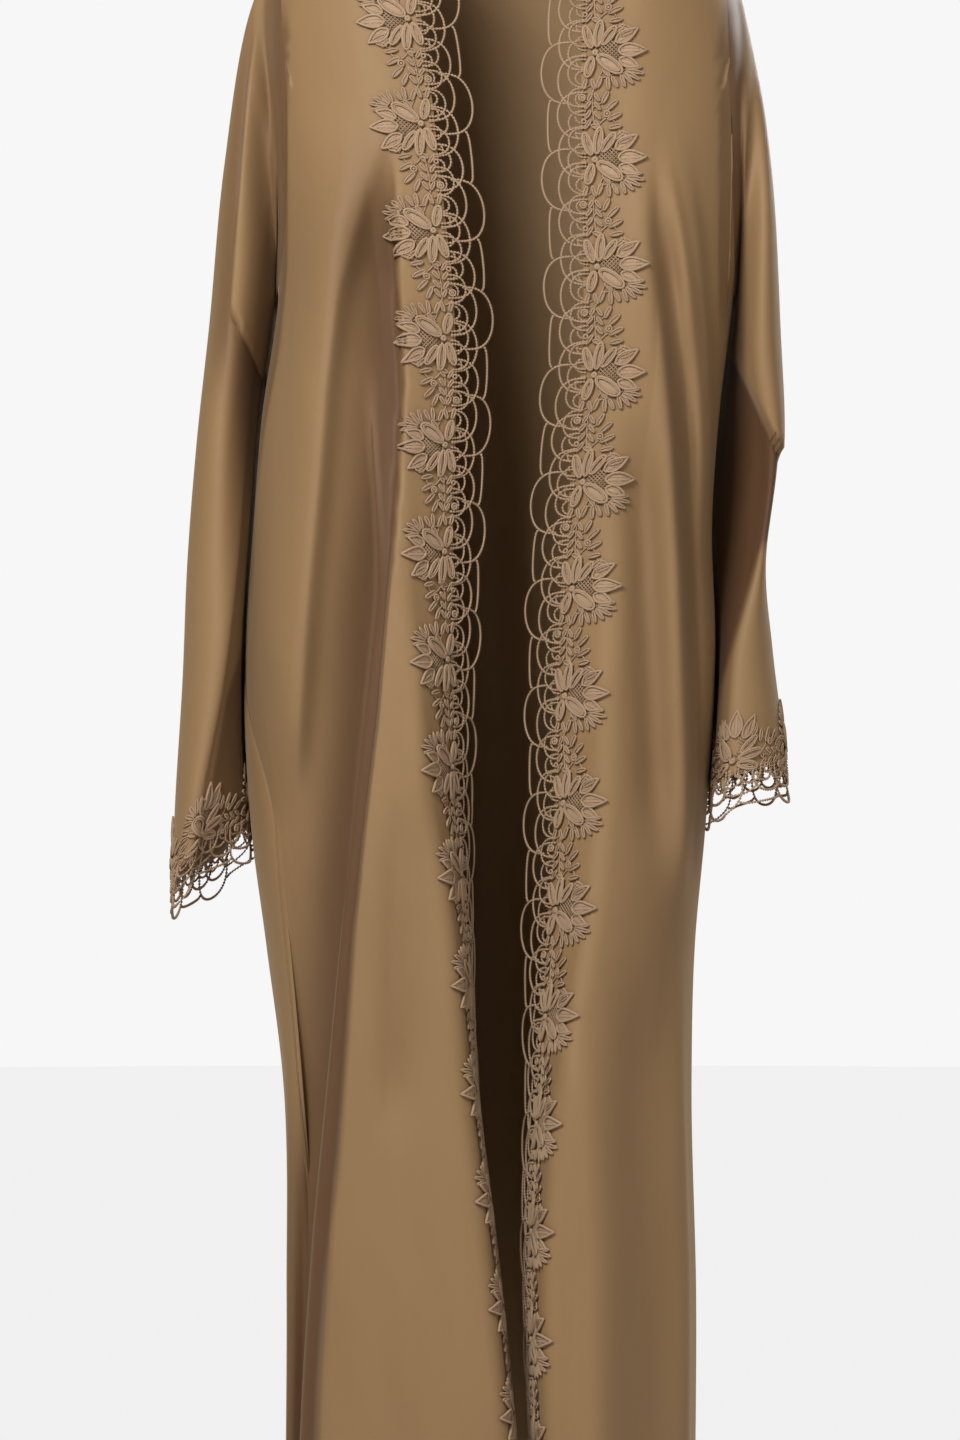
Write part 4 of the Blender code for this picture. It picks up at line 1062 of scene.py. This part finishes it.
def lace_trim(name, repeat, points, normals, across, along, repeats, start, closed):
    """Lays a run of repeats on a grid of points, whose places across and along are given."""
    bm = repeat.copy()
    step = LACE_REPEAT / 1000
    whole = bm.verts[:] + bm.edges[:] + bm.faces[:]
    for k in range(1, repeats):
        copied = bmesh.ops.duplicate(bm, geom=whole)["geom"]
        bmesh.ops.translate(bm, verts=[g for g in copied if isinstance(g, bmesh.types.BMVert)],
                            vec=(0, k * step, 0))
    bmesh.ops.translate(bm, verts=bm.verts, vec=(0, start, 0))
    if not closed:
        for place, way in ((along[0], -1), (along[-1], 1)):
            every = bm.verts[:] + bm.edges[:] + bm.faces[:]
            cut = bmesh.ops.bisect_plane(bm, geom=every, plane_co=(0, place, 0), plane_no=(0, way, 0),
                                         clear_outer=True)
            edges = [g for g in cut["geom_cut"] if isinstance(g, bmesh.types.BMEdge)]
            bmesh.ops.holes_fill(bm, edges=edges, sides=0)
    mesh = new_mesh(name, bm)
    flat = np.zeros(len(mesh.vertices) * 3, dtype=np.float32)
    mesh.vertices.foreach_get("co", flat)
    flat = flat.reshape(-1, 3).astype(float)
    if closed:
        flat[:, 1] = (flat[:, 1] - along[0]) % (along[-1] - along[0]) + along[0]
    c = np.clip(np.searchsorted(across, flat[:, 0]) - 1, 0, len(across) - 2)
    r = np.clip(np.searchsorted(along, flat[:, 1]) - 1, 0, len(along) - 2)
    s = ((flat[:, 0] - across[c]) / (across[c + 1] - across[c]))[:, None]
    t = np.clip((flat[:, 1] - along[r]) / (along[r + 1] - along[r]), 0, 1)[:, None]

    def mixed(grid):
        """The grid's values at the trim's points, even between its corners."""
        upper = grid[r, c] * (1 - s) + grid[r, c + 1] * s
        lower = grid[r + 1, c] * (1 - s) + grid[r + 1, c + 1] * s
        return upper * (1 - t) + lower * t

    out = mixed(normals)
    out /= np.linalg.norm(out, axis=-1, keepdims=True)
    places = mixed(points) + out * (flat[:, 2:3] + LACE_LIFT)
    mesh.vertices.foreach_set("co", places.astype(np.float32).ravel())
    mesh.flip_normals()
    mesh.shade_smooth()
    mesh.update()
    made = new_object(name, mesh)
    made.data.materials.append(lace_thread)
    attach(made, "root")
    return made


LACE_PHASE = {-1: 0.004, 1: -0.031}
LACE_WIDTH = 0.100
LACE_MIDDLE = 0.04
LACE_ROWS = 300
FINE_ROWS = 900
SMALL_STEP = 0.0008


def lace_bed(side, along, drop):
    """A point of the creased edge strip, on which the lace is sewn."""
    return creases(side, edge_strip(side, along, drop))


def facing(side, along, drop):
    """Outward direction of the edge strip."""
    over = lace_bed(side, along + SMALL_STEP, drop) - lace_bed(side, along - SMALL_STEP, drop)
    down = lace_bed(side, along, drop + SMALL_STEP) - lace_bed(side, along, drop - SMALL_STEP)
    out = -side * np.cross(down, over)
    return out / np.linalg.norm(out, axis=-1, keepdims=True)


def run_along(line):
    """Distances along a line of points."""
    return np.concatenate([[0.0], np.cumsum(np.linalg.norm(np.diff(line, axis=0), axis=1))])


lace_across = np.linspace(0.0, LACE_WIDTH, 26)
for side, name in ((-1, "lace_front_right"), (1, "lace_front_left")):
    fine = np.linspace(0.0, LENGTH, FINE_ROWS)
    near_top = lace_bed(side, np.full_like(fine, LACE_MIDDLE), fine)[10]
    fine = np.linspace(float(seam_drop(near_top[0])), LENGTH, FINE_ROWS)
    run = run_along(lace_bed(side, np.full_like(fine, LACE_MIDDLE), fine))
    lace_along = np.linspace(0.0, run[-1], LACE_ROWS)
    drops = np.interp(lace_along, run, fine)
    wide, deep = np.meshgrid(LACE_START + lace_across, drops)
    points = lace_bed(side, wide, deep)
    normals = facing(side, wide, deep)
    if side > 0:
        points, normals = points[::-1], normals[::-1]
    repeats = int(math.ceil(run[-1] / LACE_REPEAT * 1000)) + 2
    for part, repeat in (("_flowers", flowers), ("_loops", loops)):
        lace_trim(name + part, repeat, points, normals, lace_across, lace_along, repeats,
                               LACE_PHASE[side], False)
        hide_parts(name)

CUFF_COLUMNS = 121
CUFF_ROWS = 41
CUFF_START = 0.80
for side, name in ((-1, "lace_cuff_right"), (1, "lace_cuff_left")):
    turn = np.linspace(0, 2 * math.pi, CUFF_COLUMNS)
    turn_grid, step_grid = np.meshgrid(turn, np.linspace(CUFF_START, 1.0, CUFF_ROWS))
    tube = sleeve(side, turn_grid, step_grid)
    hem = tube[-1]
    way = hem - tube[-2]
    way /= np.linalg.norm(way, axis=-1, keepdims=True)
    hem_run = run_along(hem)
    above = np.clip(BAND_ON_CLOTH - lace_across, 0.0, None)
    beyond = np.clip(lace_across - BAND_ON_CLOTH, 0.0, None)
    rows = []
    for k in range(CUFF_COLUMNS):
        line = tube[::-1, k]
        up = run_along(line)
        place = np.stack([np.interp(above, up, line[:, i]) for i in range(3)], axis=-1)
        rows.append(place + way[k] * beyond[:, None])
    points = np.array(rows)
    over = np.roll(points[:-1], -1, axis=0) - np.roll(points[:-1], 1, axis=0)
    over = np.concatenate([over, over[:1]])
    down = np.gradient(points, axis=1)
    normals = side * np.cross(over, down)
    normals /= np.linalg.norm(normals, axis=-1, keepdims=True)
    if side > 0:
        points, normals = points[::-1], normals[::-1]
        hem_run = hem_run[-1] - hem_run[::-1]
    repeats = int(round(hem_run[-1] / LACE_REPEAT * 1000))
    cuff_along = hem_run * (repeats * LACE_REPEAT / 1000 / hem_run[-1])
    for part, repeat in (("_flowers", flowers), ("_loops", loops)):
        lace_trim(name + part, repeat, points, normals, lace_across, cuff_along, repeats,
                               0.0, True)
        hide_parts(name + "_front", name + "_back")

# The camera looks level at the cloak, framed as in the photo. The floor is pale, before a pale
# background. A key light stands at the front left, a weak fill at the front right and a third
# light behind, for the edges.
VIEW_DISTANCE = 5.0
VIEW_PLANE = -0.06
VIEW_SIDE = -0.020
VIEW_DROP = 0.744
PHOTO_ROWS = 1440
PHOTO_PIXEL = 0.00087
SENSOR = 36.0
camera_data = bpy.data.cameras.new("camera")
camera = new_object("camera", camera_data)
camera_data.sensor_fit = "VERTICAL"
camera_data.sensor_height = SENSOR
camera_data.lens = SENSOR * VIEW_DISTANCE / (PHOTO_ROWS * PHOTO_PIXEL)
camera_data.clip_end = 50
camera.location = (VIEW_SIDE, VIEW_PLANE - VIEW_DISTANCE, -VIEW_DROP)
camera.rotation_euler = (math.pi / 2, 0, 0)
bpy.context.scene.camera = camera

bpy.context.scene.view_settings.view_transform = "Standard"
AMBIENT = (0.255, 0.220, 0.185, 1.0)
BACKGROUND = (0.93, 0.93, 0.93, 1.0)
FLOOR_TONE = 0.875
world = bpy.data.worlds.new("studio")
bpy.context.scene.world = world
world.use_nodes = True
nodes = world.node_tree.nodes
background = nodes["Background"]
seen = nodes.new("ShaderNodeLightPath")
air = nodes.new("ShaderNodeMix")
air.data_type = "RGBA"
air.inputs["A"].default_value = AMBIENT
air.inputs["B"].default_value = BACKGROUND
world.node_tree.links.new(seen.outputs["Is Camera Ray"], air.inputs["Factor"])
world.node_tree.links.new(air.outputs["Result"], background.inputs["Color"])


def area_light(name, place, aim, size, power):
    """A square light that faces a point."""
    data = bpy.data.lights.new(name, "AREA")
    data.shape = "SQUARE"
    data.size = size
    data.energy = power
    lamp = new_object(name, data)
    lamp.location = place
    lamp.rotation_euler = (Vector(aim) - Vector(place)).to_track_quat("-Z", "Y").to_euler()


area_light("key", (-1.0, -2.3, 1.0), (0, 0, -0.5), 1.0, 86)
area_light("fill", (1.9, -2.6, 0.2), (0, 0, -0.7), 1.6, 20)
area_light("behind", (1.6, 2.6, 0.9), (0, 0, -0.7), 1.4, 70)

FLOOR_RADIUS = 7.7
FLOOR_BELOW = 0.08
bm = bmesh.new()
bmesh.ops.create_circle(bm, cap_ends=True, segments=64, radius=FLOOR_RADIUS)
bmesh.ops.translate(bm, verts=bm.verts, vec=(0, 0, -LENGTH - FLOOR_BELOW))
floor = new_object("floor", new_mesh("floor", bm))
floor_paint = bpy.data.materials.new("pale_floor")
floor_paint.use_nodes = True
nodes = floor_paint.node_tree.nodes
shader = nodes["Principled BSDF"]
seen = nodes.new("ShaderNodeLightPath")
glow = nodes.new("ShaderNodeEmission")
glow.inputs["Color"].default_value = (FLOOR_TONE, FLOOR_TONE, FLOOR_TONE, 1)
either = nodes.new("ShaderNodeMixShader")
shader.inputs["Base Color"].default_value = (0.6, 0.6, 0.6, 1)
links = floor_paint.node_tree.links
links.new(seen.outputs["Is Camera Ray"], either.inputs["Fac"])
links.new(shader.outputs["BSDF"], either.inputs[1])
links.new(glow.outputs["Emission"], either.inputs[2])
links.new(either.outputs["Shader"], nodes["Material Output"].inputs["Surface"])
floor.data.materials.append(floor_paint)
